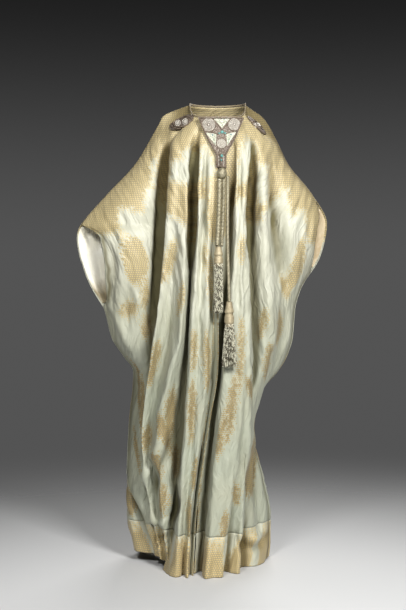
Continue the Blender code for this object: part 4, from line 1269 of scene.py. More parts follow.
@dataclass
class ClothPanel:
    """A main panel of the coat and the band sewn along its hem, as fine thin cloth."""

    panel: Panel
    seed: int
    panel_rows: int = 236
    band_rows: int = 24
    seam_columns: int = 10
    wing_steps: int = 20
    fold_steps: int = 14
    crease_steps: int = 8
    crease_taper: float = 0.6
    rumple: float = 0.0021
    waves: int = 16
    wave_width: tuple[float, float] = (0.016, 0.062)
    wave_height: tuple[float, float] = (0.12, 0.42)
    wave_lean: float = 0.25
    wave_sway: float = 1.3
    swell_tall: float = 1.7
    swell_across: float = 0.3
    even_width: float = 0.05
    waves_together: float = 2.4
    side_fade: float = 0.03
    neck_fade: float = 0.06
    neck_fade_top: float = 1.378
    # Painted shade between the folds and along crease troughs: its reach, depth and strength
    hollow_reach: float = 0.03
    hollow_from: float = 0.004
    hollow_depth: float = 0.024
    hollow_most: float = 0.85
    back_hollow: float = 0.6
    pinch_depth: float = 0.014
    front_pinch: float = 0.52
    back_pinch: float = 0.85
    hem_dip: float = 0.0010
    hem_dip_width: float = 0.006
    pucker_length: float = 0.031
    seam_dip: float = 0.0014
    seam_dip_width: float = 0.005
    ornament_gap: float = 0.0007
    ornament_margin: float = 0.004
    ornament_depth: float = 0.03
    front_edging: float = 0.005
    # A painted shadow just inside the right cuff's edge: mouth, inset, width, strength and waves
    worn_cuff: float = 0.04
    worn_inset: float = 0.010
    worn_width: float = 0.007
    worn_shade: float = 0.8
    worn_waves: tuple[Point, ...] = ((0.0022, 0.023, 0.0), (0.0016, 0.0091, 1.0))
    opening_waves: tuple[Point, ...] = ((1.0, 0.21, 1.1), (0.4, 0.083, 0.0))
    opening_from: float = 0.40
    opening_rise: float = 0.05
    band_depth: float = 0.020
    band_slope: float = 0.34
    band_middle: float = 0.05
    grid: np.ndarray = None
    uv: np.ndarray = None
    gold: np.ndarray = None
    # Painted shade at each point, from 0 to 1
    hollow: np.ndarray = None

    @property
    def is_back(self) -> bool:
        """Whether this is the back and not a front."""
        return self.panel is Panel.BACK

    def heights(self) -> np.ndarray:
        """The level of each row, with the hem band's rows after the panel's."""
        panel = np.linspace(NECK_HEIGHT, HEM_BAND + HEM_SEAM / 2, self.panel_rows)
        return np.concatenate([panel, np.linspace(HEM_BAND - HEM_SEAM / 2, 0.0, self.band_rows)])

    def form(self) -> np.ndarray:
        """The panel's plain form, without creases."""
        if self.is_back:
            grid = SHAPE.back_grid(self.heights(), BACK_TURN_COLUMNS, BACK_COLUMNS)
            return self.parted(self.parted(grid, 1.0, False), 1.0, True)
        side = Side.RIGHT if self.panel is Panel.FRONT_RIGHT else Side.LEFT
        keys = SHAPE.front_keys(side, self.heights())
        folds = keys.shape[1] - 1 - SHAPE.wing_spans
        steps = [self.wing_steps] * SHAPE.wing_spans + [self.fold_steps] * folds
        return self.eased(self.parted(through(keys, steps), -1.0, False))

    def eased(self, grid: np.ndarray) -> np.ndarray:
        """The grid of a front with one fold drawn sideways, as the cloth hangs askew."""
        height = self.heights()
        ease = EASES[self.panel]
        tall, x, shift = (tuple(v * MILLIMETRE for v in column) for column in zip(*ease.places))
        middle = SmoothCurve(tall, x)(height)[:, None]
        away = (grid[..., 0] - middle) / (ease.reach * MILLIMETRE)
        grid[..., 0] += SmoothCurve(tall, shift)(height)[:, None] * np.exp(-away * away)
        return grid

    def parted(self, grid: np.ndarray, way: float, last: bool) -> np.ndarray:
        """The grid with one side edge eased along Y, clear of the panel it is sewn to."""
        column = -1 if last else 0
        facing = np.abs(normals_of(grid)[:, column, 1])
        ease = np.clip(1 - np.arange(grid.shape[1]) / self.seam_columns, 0, 1)
        ease = ease[::-1] if last else ease
        grid[:, :, 1] += way * (SEAM_GAP / 2 + CLOTH / 2 * facing)[:, None] * ease
        return grid

    def crease_heights(self, grid: np.ndarray) -> np.ndarray:
        """How far the listed creases raise each point."""
        x, z = grid[..., 0], grid[..., 2]
        total = np.zeros(x.shape)
        for crease in CREASES[self.panel]:
            path = np.array(crease.path, float) * MILLIMETRE
            line = through(path, [self.crease_steps] * (len(path) - 1))
            nearest = np.full(x.shape, np.inf)
            place = np.zeros(x.shape)
            for k, (start, end) in enumerate(zip(line, line[1:])):
                t, away = from_segment(x, z, start, end)
                place = np.where(away < nearest, (k + t) / (len(line) - 1), place)
                nearest = np.minimum(nearest, away)
            fade = np.sin(np.pi * np.clip(place, 0.02, 0.98)) ** self.crease_taper
            spread = np.exp(-((nearest / (crease.width * MILLIMETRE)) ** 2))
            total += crease.rise * MILLIMETRE * spread * fade
        return total

    def rumples(self) -> np.ndarray:
        """Small uneven undulations that run mostly down the cloth."""
        chance = np.random.default_rng(self.seed)
        across, along = self.uv[..., 0], self.uv[..., 1]
        total = np.zeros(across.shape)
        for _ in range(self.waves):
            wide, tall = chance.uniform(*self.wave_width), chance.uniform(*self.wave_height)
            phase, drift = chance.uniform(0, 2 * np.pi, 2)
            lean = chance.uniform(-self.wave_lean, self.wave_lean)
            sway = self.wave_sway * np.sin(2 * np.pi * along / tall + drift)
            place = along / (tall * self.swell_tall) + across / self.swell_across
            swell = 0.5 + 0.5 * np.sin(2 * np.pi * place + phase)
            wave = np.sin(2 * np.pi * (across + lean * along) / wide + phase + sway)
            total += wide / self.even_width * swell * wave
        return self.rumple * total / self.waves_together

    def edge_fade(self) -> np.ndarray:
        """1 inside the panel, 0 at its sides and neck, so that seams stay where they are."""
        across = self.uv[..., 0]
        wide = across.max(axis=1, keepdims=True)
        sides = np.clip(np.minimum(across, wide - across) / self.side_fade, 0, 1)
        neck = np.clip((self.neck_fade_top - self.heights()) / self.neck_fade, 0, 1)[:, None]
        return sides * sides * (3 - 2 * sides) * neck

    def hollows(self, creases: np.ndarray) -> np.ndarray:
        """The painted shade at each point: how deep it lies between folds and in crease troughs."""
        depth = np.empty(creases.shape)
        outer = -1.0 if self.is_back else 1.0
        for row, points in enumerate(self.grid):
            near = np.exp(-(((points[:, None, 0] - points[None, :, 0]) / self.hollow_reach) ** 2))
            depth[row] = outer * (points[:, 1] - near @ points[:, 1] / near.sum(axis=1))
        between = np.clip((depth - self.hollow_from) / self.hollow_depth, 0.0, self.hollow_most)
        pinch = self.front_pinch
        if self.is_back:
            pinch = self.back_pinch
            column = np.arange(depth.shape[1])
            from_side = np.minimum(column, column[::-1]) / BACK_TURN_COLUMNS
            between *= self.back_hollow * np.clip(from_side - 1.0, 0.0, 1.0)
        # Painted shade: deep between neighbouring folds, and along crease troughs
        shade = between + np.clip(-creases / self.pinch_depth, 0.0, 1.0) * pinch
        # The right front also gets a painted shadow inside its cuff's edge
        return shade + self.worn_line() if self.panel is Panel.FRONT_RIGHT else shade

    def worn_line(self) -> np.ndarray:
        """A painted shadow: an uneven dark line just inside the edge of the right cuff."""
        cuff = SHAPE.at("cuff_right", self.heights())
        mouth = np.clip(cuff / self.worn_cuff, 0.0, 1.0)[:, None]
        across, down = self.uv[..., 0], self.uv[..., 1]
        from_edge = across.max(axis=1, keepdims=True) - across
        waves = sum(size * np.sin(down / long + phase) for size, long, phase in self.worn_waves)
        line = self.worn_inset + waves
        return self.worn_shade * mouth * np.exp(-(((from_edge - line) / self.worn_width) ** 2))

    def seam_dips(self) -> np.ndarray:
        """A shallow groove along the hem seam, slightly puckered, and one down the back's middle."""
        away = np.abs(self.heights() - HEM_BAND)[:, None]
        pucker = 1 + 0.5 * np.sin(self.uv[..., 0] * 2 * np.pi / self.pucker_length)
        dip = -self.hem_dip * np.exp(-((away / self.hem_dip_width) ** 2)) * pucker
        if self.is_back:
            aside = self.uv[..., 0] - self.uv[:, BACK_SEAM_COLUMN : BACK_SEAM_COLUMN + 1, 0]
            dip = dip - self.seam_dip * np.exp(-((aside / self.seam_dip_width) ** 2))
        return dip

    def clear_of(self, grid: np.ndarray, nodes: tuple[str, ...]) -> np.ndarray:
        """The grid drawn back wherever it would reach a solid that lies on it."""
        margin, clear = self.ornament_margin, WALL / 2 + self.ornament_gap
        for name in nodes:
            solid = Solid(name)
            low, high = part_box(name)
            level = grid[..., 2] - NECK_HEIGHT
            near = (grid[..., 0] > low.x - margin) & (grid[..., 0] < high.x + margin)
            near &= (level > low.z - margin) & (level < high.z + margin)
            near &= grid[..., 1] < self.ornament_depth
            for row, column in np.argwhere(near):
                x, y, z = grid[row, column]
                rear = solid.rear(x, z - NECK_HEIGHT)
                if rear is not None and rear - self.ornament_depth < y < rear + clear:
                    grid[row, column, 1] = rear + clear
        return grid

    def build(self) -> None:
        """Work out the panel's points, UV places and woven pattern."""
        base = self.form()
        across = arc_lengths(base, 1)
        if not self.is_back:
            across = across[:, -1:] - across
        along = -arc_lengths(base, 0)
        self.uv = np.stack([across, base[..., 2] - base[..., 2].max()], axis=2)
        out = normals_of(base)
        out *= np.sign(out[..., 1].mean()) * (1.0 if self.is_back else -1.0)
        creases = self.crease_heights(base) * self.edge_fade()
        shift = creases + self.rumples() * self.edge_fade() + self.seam_dips()
        self.grid = base + out * shift[..., None]
        self.hollow = np.clip(self.hollows(creases), 0.0, 1.0)
        self.gold = Pattern(self.panel, base, across, along).gold()
        if not self.is_back:
            self.grid = self.clear_of(self.grid, ORNAMENTS)
            self.gold = np.maximum(self.gold, self.front_edging - across)
        self.gold[self.panel_rows :] = self.band_gold()

    def band_gold(self) -> np.ndarray:
        """The hem band's pattern: gold with a few pale openings."""
        across = self.uv[self.panel_rows :, :, 0]
        level = self.heights()[self.panel_rows :, None]
        swing = sum(
            size * np.sin(2 * np.pi * across / long + phase) for size, long, phase in self.opening_waves
        )
        opened = self.opening_rise * np.maximum(0.0, swing - self.opening_from)
        depth = self.band_depth - opened + (self.band_middle - level) * self.band_slope
        return np.clip(depth, -Pattern.reach, Pattern.reach)

    def cloth(self, name: str, part: tuple[slice, slice], material: Material) -> Piece:
        """One piece of cloth from some of the rows and columns, with its pattern and painted shade."""
        flip = self.panel is not Panel.FRONT_RIGHT
        piece = cloth_piece(name, self.grid[part], self.uv[part], material, flip)
        for title, values in (("gold", self.gold), ("hollow", self.hollow)):
            carried = piece.data.attributes.new(title, "FLOAT", "POINT")
            carried.data.foreach_set("value", values[part].astype(np.float32).ravel())
        return piece

    def make(self, silk: Material, band: Material) -> None:
        """Make the panel and its hem band."""
        self.build()
        every = slice(None)
        panel_rows, band_rows = slice(0, self.panel_rows), slice(self.panel_rows, None)
        if self.is_back:
            pieces = {
                "back_right": (panel_rows, slice(0, BACK_SEAM_COLUMN + 1)),
                "back_left": (panel_rows, slice(BACK_SEAM_COLUMN, None)),
                "hem_band_back": (band_rows, every),
            }
        else:
            side = self.panel.value.removeprefix("front_")
            pieces = {"front_" + side: (panel_rows, every), "hem_band_" + side: (band_rows, every)}
        for node, part in pieces.items():
            is_band = node.startswith("hem_band")
            piece = self.cloth(node + "_cloth", part, band if is_band else silk)
            dress(piece, "gold_brocade" if is_band else "celadon_silk", node)


class Cut(NamedTuple):
    """The flat size of a cut piece, its width and length, and its flat area."""

    flat: tuple[float, float]
    area: float


ORNAMENTS = ("plastron", "shoulder_ornament_right", "shoulder_ornament_left")


class Solid:
    """A solid of the coat that other pieces are laid on, read by casting rays at it."""

    def __init__(self, name: str) -> None:
        """Take the solid's mesh as it stands."""
        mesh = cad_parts[name].data
        points = [vertex.co.copy() for vertex in mesh.vertices]
        self.tree = BVHTree.FromPolygons(points, [tuple(face.vertices) for face in mesh.polygons])

    def front(self, x: float, z: float) -> Spot:
        """The nearest point and normal seen from the front at (x, z)."""
        place, normal, _, _ = self.tree.ray_cast(Vector((x, -1.0, z)), Vector((0, 1, 0)))
        return None if place is None else (place, normal)

    def rear(self, x: float, z: float) -> Union[float, None]:
        """The y of the solid's rear face at (x, z)."""
        place = self.tree.ray_cast(Vector((x, 1.0, z)), Vector((0, -1, 0)))[0]
        return None if place is None else place.y


@dataclass
class CuffFacing:
    """The satin facing inside the back of a sleeve's mouth, made from the back's own points."""

    side: Side
    width: float = 0.12
    start: float = 0.010
    gap: float = 0.0006
    inset: float = 0.003

    def make(self, back: ClothPanel, material: Material) -> None:
        """Cut the facing from the back's grid and set it just inside."""
        heights = back.heights()
        inside = normals_of(back.grid)
        inside *= -np.sign(inside[..., 1].mean())
        rows = np.flatnonzero(SHAPE.at("cuff_" + self.side.value, heights) > self.start)
        middle = rows[len(rows) // 2]
        away = np.abs(back.grid[middle, :, 0] - SHAPE.at("x_" + self.side.value, heights[middle]))
        columns = np.flatnonzero((away > self.inset) & (away < self.width))
        grid = (back.grid + inside * (CLOTH + self.gap))[np.ix_(rows, columns)]
        name = "cuff_facing_" + self.side.value
        places = np.stack([arc_lengths(grid, 1), arc_lengths(grid, 0)], axis=2)
        made = cloth_piece(name + "_satin", grid, places, material, flip=False)
        dress(made, "ivory_satin", name)


@dataclass
class NeckBinding:
    """The narrow rolled binding round the neck."""

    width: float = 0.006
    thick: float = 0.004
    sides: int = 10
    rings: int = 260
    round_length: float = 0.016

    def make(self, right: ClothPanel, back: ClothPanel, left: ClothPanel, material: Material) -> None:
        """Sweep a soft oval along the panels' top rows."""
        path = np.vstack([right.grid[0, ::-1], back.grid[0, 1:-1], left.grid[0]])
        step = np.linalg.norm(np.diff(path, axis=0), axis=1)
        even, path = evenly(path[np.concatenate([[True], step > 1e-5])], self.rings)
        path[:, 2] += CLOTH / 2 + SEAM_GAP + self.width / 2
        out = np.cross(np.gradient(path, axis=0), (0.0, 0.0, 1.0))
        out /= np.linalg.norm(out, axis=1, keepdims=True)
        turn = turns(self.sides)
        ease = 1 + 0.06 * np.sin(even / 0.009)[:, None, None]
        ring = out[:, None] * (self.thick / 2 * np.cos(turn))[:, None] * ease
        ring = ring + np.array([0, 0, 1.0]) * (self.width / 2 * np.sin(turn))[:, None]
        parts = MeshParts()
        parts.add_tube(framed(path[:, None] + ring), turn / (2 * np.pi) * self.round_length, even)
        piece = parts.make_closed("neck_binding_satin", material, "ivory_satin", "neck_binding")


@dataclass(frozen=True)
class Rope:
    """A laid or chained cord: how its section swells and turns along its length."""

    radius: float
    plies: int = 3
    pitch: float = 0.02
    groove: float = 0.22
    link: float = 0.0
    link_length: float = 0.007
    sides: int = 18
    ring_step: float = 0.0013

    def sweep(self, parts: MeshParts, path: np.ndarray, closed: bool = False) -> None:
        """Add the cord along a path of points in the coat's frame.

        Args:
            parts: The mesh that takes the cord.
            path: Its route.
            closed: Whether the route meets itself.
        """
        count = max(3, round(arc_lengths(path, 0)[-1] / self.ring_step))
        even, line = evenly(path, count)
        ahead = np.gradient(line, axis=0)
        if closed:
            ahead[0] = ahead[-1] = line[1] - line[-2]
        ahead /= np.linalg.norm(ahead, axis=1, keepdims=True)
        first = np.cross(ahead[0], (0.0, 1.0, 0.0))
        if np.linalg.norm(first) < 1e-3:
            first = np.cross(ahead[0], (1.0, 0.0, 0.0))
        aside = [first / np.linalg.norm(first)]
        for way in ahead[1:]:
            moved = aside[-1] - way * (aside[-1] @ way)
            aside.append(moved / np.linalg.norm(moved))
        aside = np.array(aside)
        over = np.cross(ahead, aside)
        turn = turns(self.sides)
        lay = self.plies / 2 * (turn[None] - 2 * np.pi * even[:, None] / self.pitch)
        swell = 1 - self.groove * (1 - np.abs(np.cos(lay)))
        links = np.abs(np.sin(np.pi * even[:, None] / self.link_length))
        swell = swell * (1 - self.link * (1 - links))
        ring = aside[:, None] * np.cos(turn)[:, None] + over[:, None] * np.sin(turn)[:, None]
        points = line[:, None] + ring * (self.radius * swell)[..., None]
        parts.add_tube(points, turn / (2 * np.pi), even)


class CordRoute(NamedTuple):
    """A hanging cord: its solid's name, diameter, lay, and route by (x, y, height)."""

    name: str
    diameter: float
    rope: Rope
    points: tuple[Point, ...]


CORDS = (
    CordRoute(
        "cord_right_outer",
        0.014,
        Rope(radius=0.0073, plies=3, pitch=0.034, groove=0.24),
        (
            *((0.0028, -0.1640, 1.1916), (0.0026, -0.1715, 1.1600), (0.0010, -0.1825, 1.1100)),
            *((-0.0010, -0.1890, 1.0600), (-0.0030, -0.1955, 1.0200), (-0.0045, -0.2045, 0.9916)),
        ),
    ),
    CordRoute(
        "cord_right_inner",
        0.011,
        Rope(radius=0.0059, plies=2, pitch=0.021, groove=0.16, link=0.26, link_length=0.0105),
        (
            *((0.0157, -0.1645, 1.1916), (0.0155, -0.1725, 1.1600), (0.0140, -0.1835, 1.1100)),
            *((0.0120, -0.1905, 1.0600), (0.0100, -0.1968, 1.0200), (0.0086, -0.2055, 0.9909)),
        ),
    ),
    CordRoute(
        "cord_left",
        0.010,
        Rope(radius=0.0052, plies=3, pitch=0.020, groove=0.18),
        (
            *((0.0271, -0.1640, 1.2000), (0.0272, -0.1745, 1.1600), (0.0265, -0.1875, 1.1000)),
            *((0.0265, -0.1970, 1.0200), (0.0280, -0.2035, 0.9400), (0.0303, -0.2110, 0.8700)),
            (0.0312, -0.2165, 0.8260),
        ),
    ),
)


@dataclass
class HangingCords:
    """The three metal-thread cords that hang from the knot."""

    fine: int = 12

    def make(self, material: Material) -> None:
        """Make each cord along its route and work out its length."""
        for cord in CORDS:
            keys = framed(np.array(cord.points))
            path = through(keys, [self.fine] * (len(keys) - 1))
            parts = MeshParts()
            cord.rope.sweep(parts, path)
            piece = parts.make_closed(cord.name + "_thread", material, "metal_cord", cord.name)
            length = float(arc_lengths(path, 0)[-1])


def add_turned(parts: MeshParts, middle: tuple[float, float], wide: np.ndarray, tall: np.ndarray) -> None:
    """Add a turned shape to a mesh.

    Args:
        parts: The mesh that takes it.
        middle: The x and y of its upright line.
        wide: Its radius, by ring and side.
        tall: Each ring's height.
    """
    turn = turns(wide.shape[1])
    x, y = middle[0] + wide * np.cos(turn), middle[1] + wide * np.sin(turn)
    rings = np.stack([x, y, np.tile(tall[:, None], len(turn))], axis=2)
    parts.add_tube(framed(rings), turn / (2 * np.pi), tall)


@dataclass
class Knot:
    """The covered knot that the cords hang from, worked over with crossing threads."""

    middle: Point = (0.010, -0.1582, 1.2090)
    radius: float = 0.015
    height: float = 0.036
    cut: float = 0.08
    rings: int = 60
    sides: int = 64
    ridges: int = 7
    ridge_depth: float = 0.07
    ridge_lean: float = 3.2

    def make(self, material: Material) -> None:
        """Turn the knot and raise its crossing ridges."""
        angle = np.pi * (self.cut + (1 - 2 * self.cut) * np.linspace(0, 1, self.rings))
        turn = turns(self.sides)
        lean = self.ridge_lean * angle[:, None]
        first = np.abs(np.cos(self.ridges / 2 * turn + lean))
        second = np.abs(np.cos(self.ridges / 2 * turn - lean))
        swell = 1 - self.ridge_depth + self.ridge_depth * np.maximum(first, second)
        wide = self.radius * np.sin(angle)[:, None] * swell
        x, y, z = self.middle
        parts = MeshParts()
        add_turned(parts, (x, y), wide, z + self.height / 2 * np.cos(angle))
        parts.make_closed("cord_knot_thread", material, "metal_cord", "cord_knot")


@dataclass
class Tassel:
    """A tassel: a wound head over a skirt of many fine knotted strands."""

    name: str
    x: float
    y: float
    top: float
    head_radius: float
    head_length: float
    skirt_length: float
    flare: float
    rings: tuple[int, ...] = (1, 6, 12, 18, 24)
    strand_radius: float = 0.0018
    strand_root: float = 0.008
    spread: float = 0.86
    flare_curve: float = 0.8
    bead_step: float = 0.0066
    strand_rings: int = 44
    shortest: float = 0.955
    strand_sides: int = 5
    sway: float = 0.0004
    head_rings: int = 90
    head_sides: int = 40
    thread: float = 0.0019
    thread_rise: float = 0.025
    profile: tuple[tuple[float, float], ...] = (
        *((0.62, 0.00), (0.66, 0.10), (0.80, 0.26), (0.96, 0.40), (0.78, 0.50)),
        *((1.00, 0.62), (1.00, 0.80), (0.84, 0.90), (0.92, 1.00)),
    )

    def add_head(self, parts: MeshParts) -> None:
        """Add the head, wound with thread."""
        radii, drops = zip(*self.profile)
        share = np.linspace(0, 1, self.head_rings)
        wound = 2 * np.pi * (share[:, None] * self.head_length / self.thread) + turns(self.head_sides)
        wide = self.head_radius * SmoothCurve(drops, radii)(share)[:, None]
        wide = wide * (1 + self.thread_rise * np.sin(wound))
        add_turned(parts, (self.x, self.y), wide, self.top - share * self.head_length)

    def add_strands(self, parts: MeshParts) -> None:
        """Add the skirt's strands, each uneven and hanging apart from the rest."""
        chance = np.random.default_rng(11 + len(self.name))
        foot = self.top - self.head_length
        spacing = self.spread * self.head_radius / (len(self.rings) - 1)
        around = turns(self.strand_sides)
        loop = np.stack([np.cos(around), np.sin(around), np.zeros(len(around))], axis=1)
        for ring, count in enumerate(self.rings):
            for k in range(count):
                turn = 2 * np.pi * (k + 0.5 * (ring % 2)) / count
                long = self.skirt_length * chance.uniform(self.shortest, 1.0)
                drop = np.linspace(-self.strand_root, long, self.strand_rings)
                opened = np.maximum(0.0, drop / self.skirt_length) ** self.flare_curve
                wide = spacing * ring * (1 + (self.flare - 1) * opened)
                phase, sway = chance.uniform(0, 2 * np.pi, 2)
                swing = self.sway * (drop > 0)
                x = self.x + wide * math.cos(turn) + swing * np.sin(drop / 0.011 + sway)
                y = self.y + spacing * ring * math.sin(turn) + swing * np.cos(drop / 0.013 + sway)
                knotted = 0.74 + 0.36 * np.sin(2 * np.pi * drop / self.bead_step + phase)
                middle = np.stack([x, y, foot - drop], axis=1)
                rings = middle[:, None] + loop * (self.strand_radius * knotted)[:, None, None]
                across = around / (2 * np.pi) * 0.98 + len(parts.points)
                parts.add_tube(framed(rings), across, drop)

    def make(self, head: Material, skirt: Material) -> None:
        """Make the head and the skirt."""
        parts = MeshParts()
        self.add_head(parts)
        parts.make_closed(self.name + "_head", head, "metal_cord")
        parts = MeshParts()
        self.add_strands(parts)
        parts.make_closed(self.name + "_skirt", skirt, "metal_cord", self.name)


@dataclass
class Beads:
    """Many small beads of one finish, each a copy of one modelled bead."""

    name: str
    finish: Material
    segments: int = 8
    rings: int = 5
    flat: float = 0.7
    seat: float = 0.55
    parts: MeshParts = field(default_factory=MeshParts)
    shape: tuple = ()

    def model(self) -> None:
        """Model the one bead: a small sphere, flattened a little where it is sewn down."""
        bpy.ops.object.select_all(action="DESELECT")
        bpy.ops.mesh.primitive_uv_sphere_add(segments=self.segments, ring_count=self.rings, radius=1.0)
        bead = bpy.context.object
        bpy.ops.object.mode_set(mode="EDIT")
        bpy.ops.mesh.select_all(action="SELECT")
        bpy.ops.transform.resize(value=(1.0, 1.0, self.flat))
        bpy.ops.object.mode_set(mode="OBJECT")
        points = np.array([vertex.co for vertex in bead.data.vertices])
        faces = [list(face.vertices) for face in bead.data.polygons]
        faces = np.array([face if len(face) == 4 else face + face[-1:] for face in faces])
        self.shape = points, faces
        bpy.data.objects.remove(bead)

    def lay(self, place: Vector, normal: Vector, radius: float) -> None:
        """Lay one bead on a surface, sunk a little into it."""
        if not self.shape:
            self.model()
        points, faces = self.shape
        turned = np.array(normal.to_track_quat("Z", "Y").to_matrix())
        middle = np.array(place) + np.array(normal) * radius * self.flat * self.seat
        laid = points * radius @ turned.T + middle
        self.parts.add(laid, faces, laid[:, [0, 2]])

    def make(self) -> None:
        """Join the beads into one piece."""
        piece = self.parts.make(self.name, self.finish)
        dress(piece, "beadwork")


def raised(spots: list[Spot], rise: float) -> np.ndarray:
    """Points a little above the spots of a surface, without the spots that miss it."""
    return np.array([np.array(spot[0] + spot[1] * rise) for spot in spots if spot])


def circle(across: float, down: float, radius: float, count: int, phase: float = 0.0) -> Places:
    """Places at even steps round a middle."""
    angles = [2 * math.pi * k / count + phase for k in range(count)]
    return [(across + radius * math.cos(t), down + radius * math.sin(t)) for t in angles]


def recolour(name: str, material: Material) -> None:
    """Give a solid of the coat a finish of its own."""
    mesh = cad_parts[name].data
    mesh.materials.clear()
    mesh.materials.append(material)


# The plastron's rosettes and stones as (across, drop, size), and its ribs, flowers and sprigs as places
BRAID_RISE = 0.0008
ROSETTES = ((-0.038, 0.024, 0.0215), (0.040, 0.023, 0.0195), (0.001, 0.082, 0.0150))
RIBS = (
    ((-0.028, 0.004), (-0.010, 0.024), (0.004, 0.042)),
    ((0.032, 0.004), (0.016, 0.024), (0.002, 0.042)),
    ((-0.050, 0.044), (-0.024, 0.048), (-0.006, 0.056)),
    ((0.050, 0.040), (0.026, 0.047), (0.008, 0.056)),
    ((-0.014, 0.115), (0.014, 0.115)),
)
STONES = (
    *((0.003, 0.047, 0.0052), (-0.006, 0.051, 0.0028), (0.012, 0.050, 0.0028), (0.001, 0.119, 0.0046)),
    *((0.000, 0.132, 0.0032), (-0.026, 0.056, 0.0022), (0.030, 0.054, 0.0022)),
)
FLOWERS = ((0.002, 0.012), (-0.012, 0.008), (0.017, 0.008), (-0.026, 0.056), (0.030, 0.054))
SPRIGS = ((-0.022, 0.070), (0.024, 0.068), (-0.019, 0.080), (0.021, 0.079), (0.003, 0.026))
PALE_AREAS = (
    ((-0.024, 0.003), (0.028, 0.003), (0.003, 0.034)),
    ((-0.048, 0.048), (-0.014, 0.052), (-0.016, 0.088)),
    ((0.047, 0.046), (0.018, 0.088), (0.016, 0.052)),
)


@dataclass
class Plastron:
    """The beaded triangle at the neck: borders of braid, rosettes, stones and pale insets."""

    width: float = 0.142
    height: float = 0.116
    tab: float = 0.032
    tab_length: float = 0.040
    curve: float = 0.22
    middle: float = 0.008
    top: float = 1.383
    margin: float = 0.0035
    path_step: float = 0.0025
    solid: Solid = None

    def half_width(self, drop: float) -> float:
        """Half the plastron's width at a drop below its top edge."""
        if drop >= self.height:
            return self.tab / 2
        share = drop / self.height
        full, tab = self.width / 2, self.tab / 2
        return tab + (full - tab) * (1 - share) * (1 + self.curve * share)

    def place(self, across: float, drop: float) -> Spot:
        """The point and normal of the plate's face at a place across and down from its top."""
        return self.solid.front(self.middle + across, self.top - drop - NECK_HEIGHT)

    def line(self, corners: Places, rise: float) -> np.ndarray:
        """A path over the plate's face through corners of (across, drop)."""
        spots = []
        for (a0, b0), (a1, b1) in zip(corners, corners[1:]):
            count = max(2, round(math.hypot(a1 - a0, b1 - b0) / self.path_step))
            for t in np.linspace(0, 1, count, endpoint=False):
                spots.append(self.place(a0 + (a1 - a0) * t, b0 + (b1 - b0) * t))
        return raised([*spots, self.place(*corners[-1])], rise)

    def border(self) -> Places:
        """The outline, set in by the margin, from a top corner round the tab and back to it."""
        drops = np.linspace(self.margin, self.height + self.tab_length - self.margin, 26)
        down = [(self.half_width(d) - self.margin, d) for d in drops]
        up = [(-across, d) for across, d in reversed(down)]
        return [*down, *up, down[0]]

    def make(self, finishes: dict[str, Material]) -> None:
        """Dress the plate with its finish, and lay the braids, rosettes and stones on it."""
        self.solid = Solid("plastron")
        recolour("plastron", finishes["plate"])
        self.lay_braids(finishes)
        self.lay_beads(finishes)

    def lay_braids(self, finishes: dict[str, Material]) -> None:
        """Lay the border, the rosettes' rings and coils, and the ribs between them."""
        braid, coils = MeshParts(), MeshParts()
        coil = Rope(radius=0.0012, plies=2, pitch=0.003, groove=0.3, sides=8, ring_step=0.0008)
        thick = Rope(radius=0.0021, plies=2, pitch=0.008, groove=0.3, sides=10, ring_step=0.001)
        fine = Rope(radius=0.0014, plies=2, pitch=0.006, groove=0.3, sides=8, ring_step=0.001)
        thick.sweep(braid, self.line(self.border(), 0.0012))
        for across, drop, radius in ROSETTES:
            for share, rope, parts in ((1.0, fine, braid), *((s, coil, coils) for s in (0.78, 0.52, 0.28))):
                ring = circle(across, drop, radius * share, 24)
                rope.sweep(parts, self.line([*ring, ring[0]], BRAID_RISE), closed=True)
        for rib in RIBS:
            fine.sweep(braid, self.line(rib, BRAID_RISE))
        braid.make_closed("plastron_braid", finishes["braid"], "beadwork")
        coils.make_closed("plastron_coils", finishes["coil"], "beadwork")

    def lay_beads(self, finishes: dict[str, Material]) -> None:
        """Lay the silver beads, the stones, and the small flowers and sprigs."""
        silver = Beads("plastron_beads", finishes["silver"])
        for across, drop, radius in ROSETTES:
            self.lay(silver, across, drop, 0.0030)
            for share, size in ((0.40, 0.0014), (0.65, 0.0015), (0.89, 0.0015)):
                count = round(2 * math.pi * radius * share / (size * 2.3))
                for place in circle(across, drop, radius * share, count):
                    self.lay(silver, *place, size)
        for drop in np.arange(0.122, 0.152, 0.0042):
            for across in (-0.008, 0.008):
                self.lay(silver, across, float(drop), 0.0016)
        stones = Beads("plastron_stones", finishes["turquoise"], segments=12, rings=8, flat=0.55)
        for stone in STONES:
            self.lay(stones, *stone)
        petals = Beads("plastron_petals", finishes["pearl"], flat=0.5)
        leaves = Beads("plastron_leaves", finishes["leaf"], flat=0.5)
        for across, drop in FLOWERS:
            for petal, leaf in zip(circle(across, drop, 0.0042, 6), circle(across, drop, 0.0078, 6, 0.5)):
                self.lay(petals, *petal, 0.0021)
                self.lay(leaves, *leaf, 0.0014)
        for across, drop in SPRIGS:
            self.lay(leaves, across, drop, 0.0022)
            self.lay(petals, across + 0.003, drop - 0.003, 0.0018)
        for beads in (silver, stones, petals, leaves):
            beads.make()

    def lay(self, beads: Beads, across: float, drop: float, size: float) -> None:
        """Lay one bead on the plate if the place is on it."""
        hit = self.place(across, drop)
        if hit and abs(across) < self.half_width(drop) - self.margin:
            beads.lay(hit[0], hit[1], size)


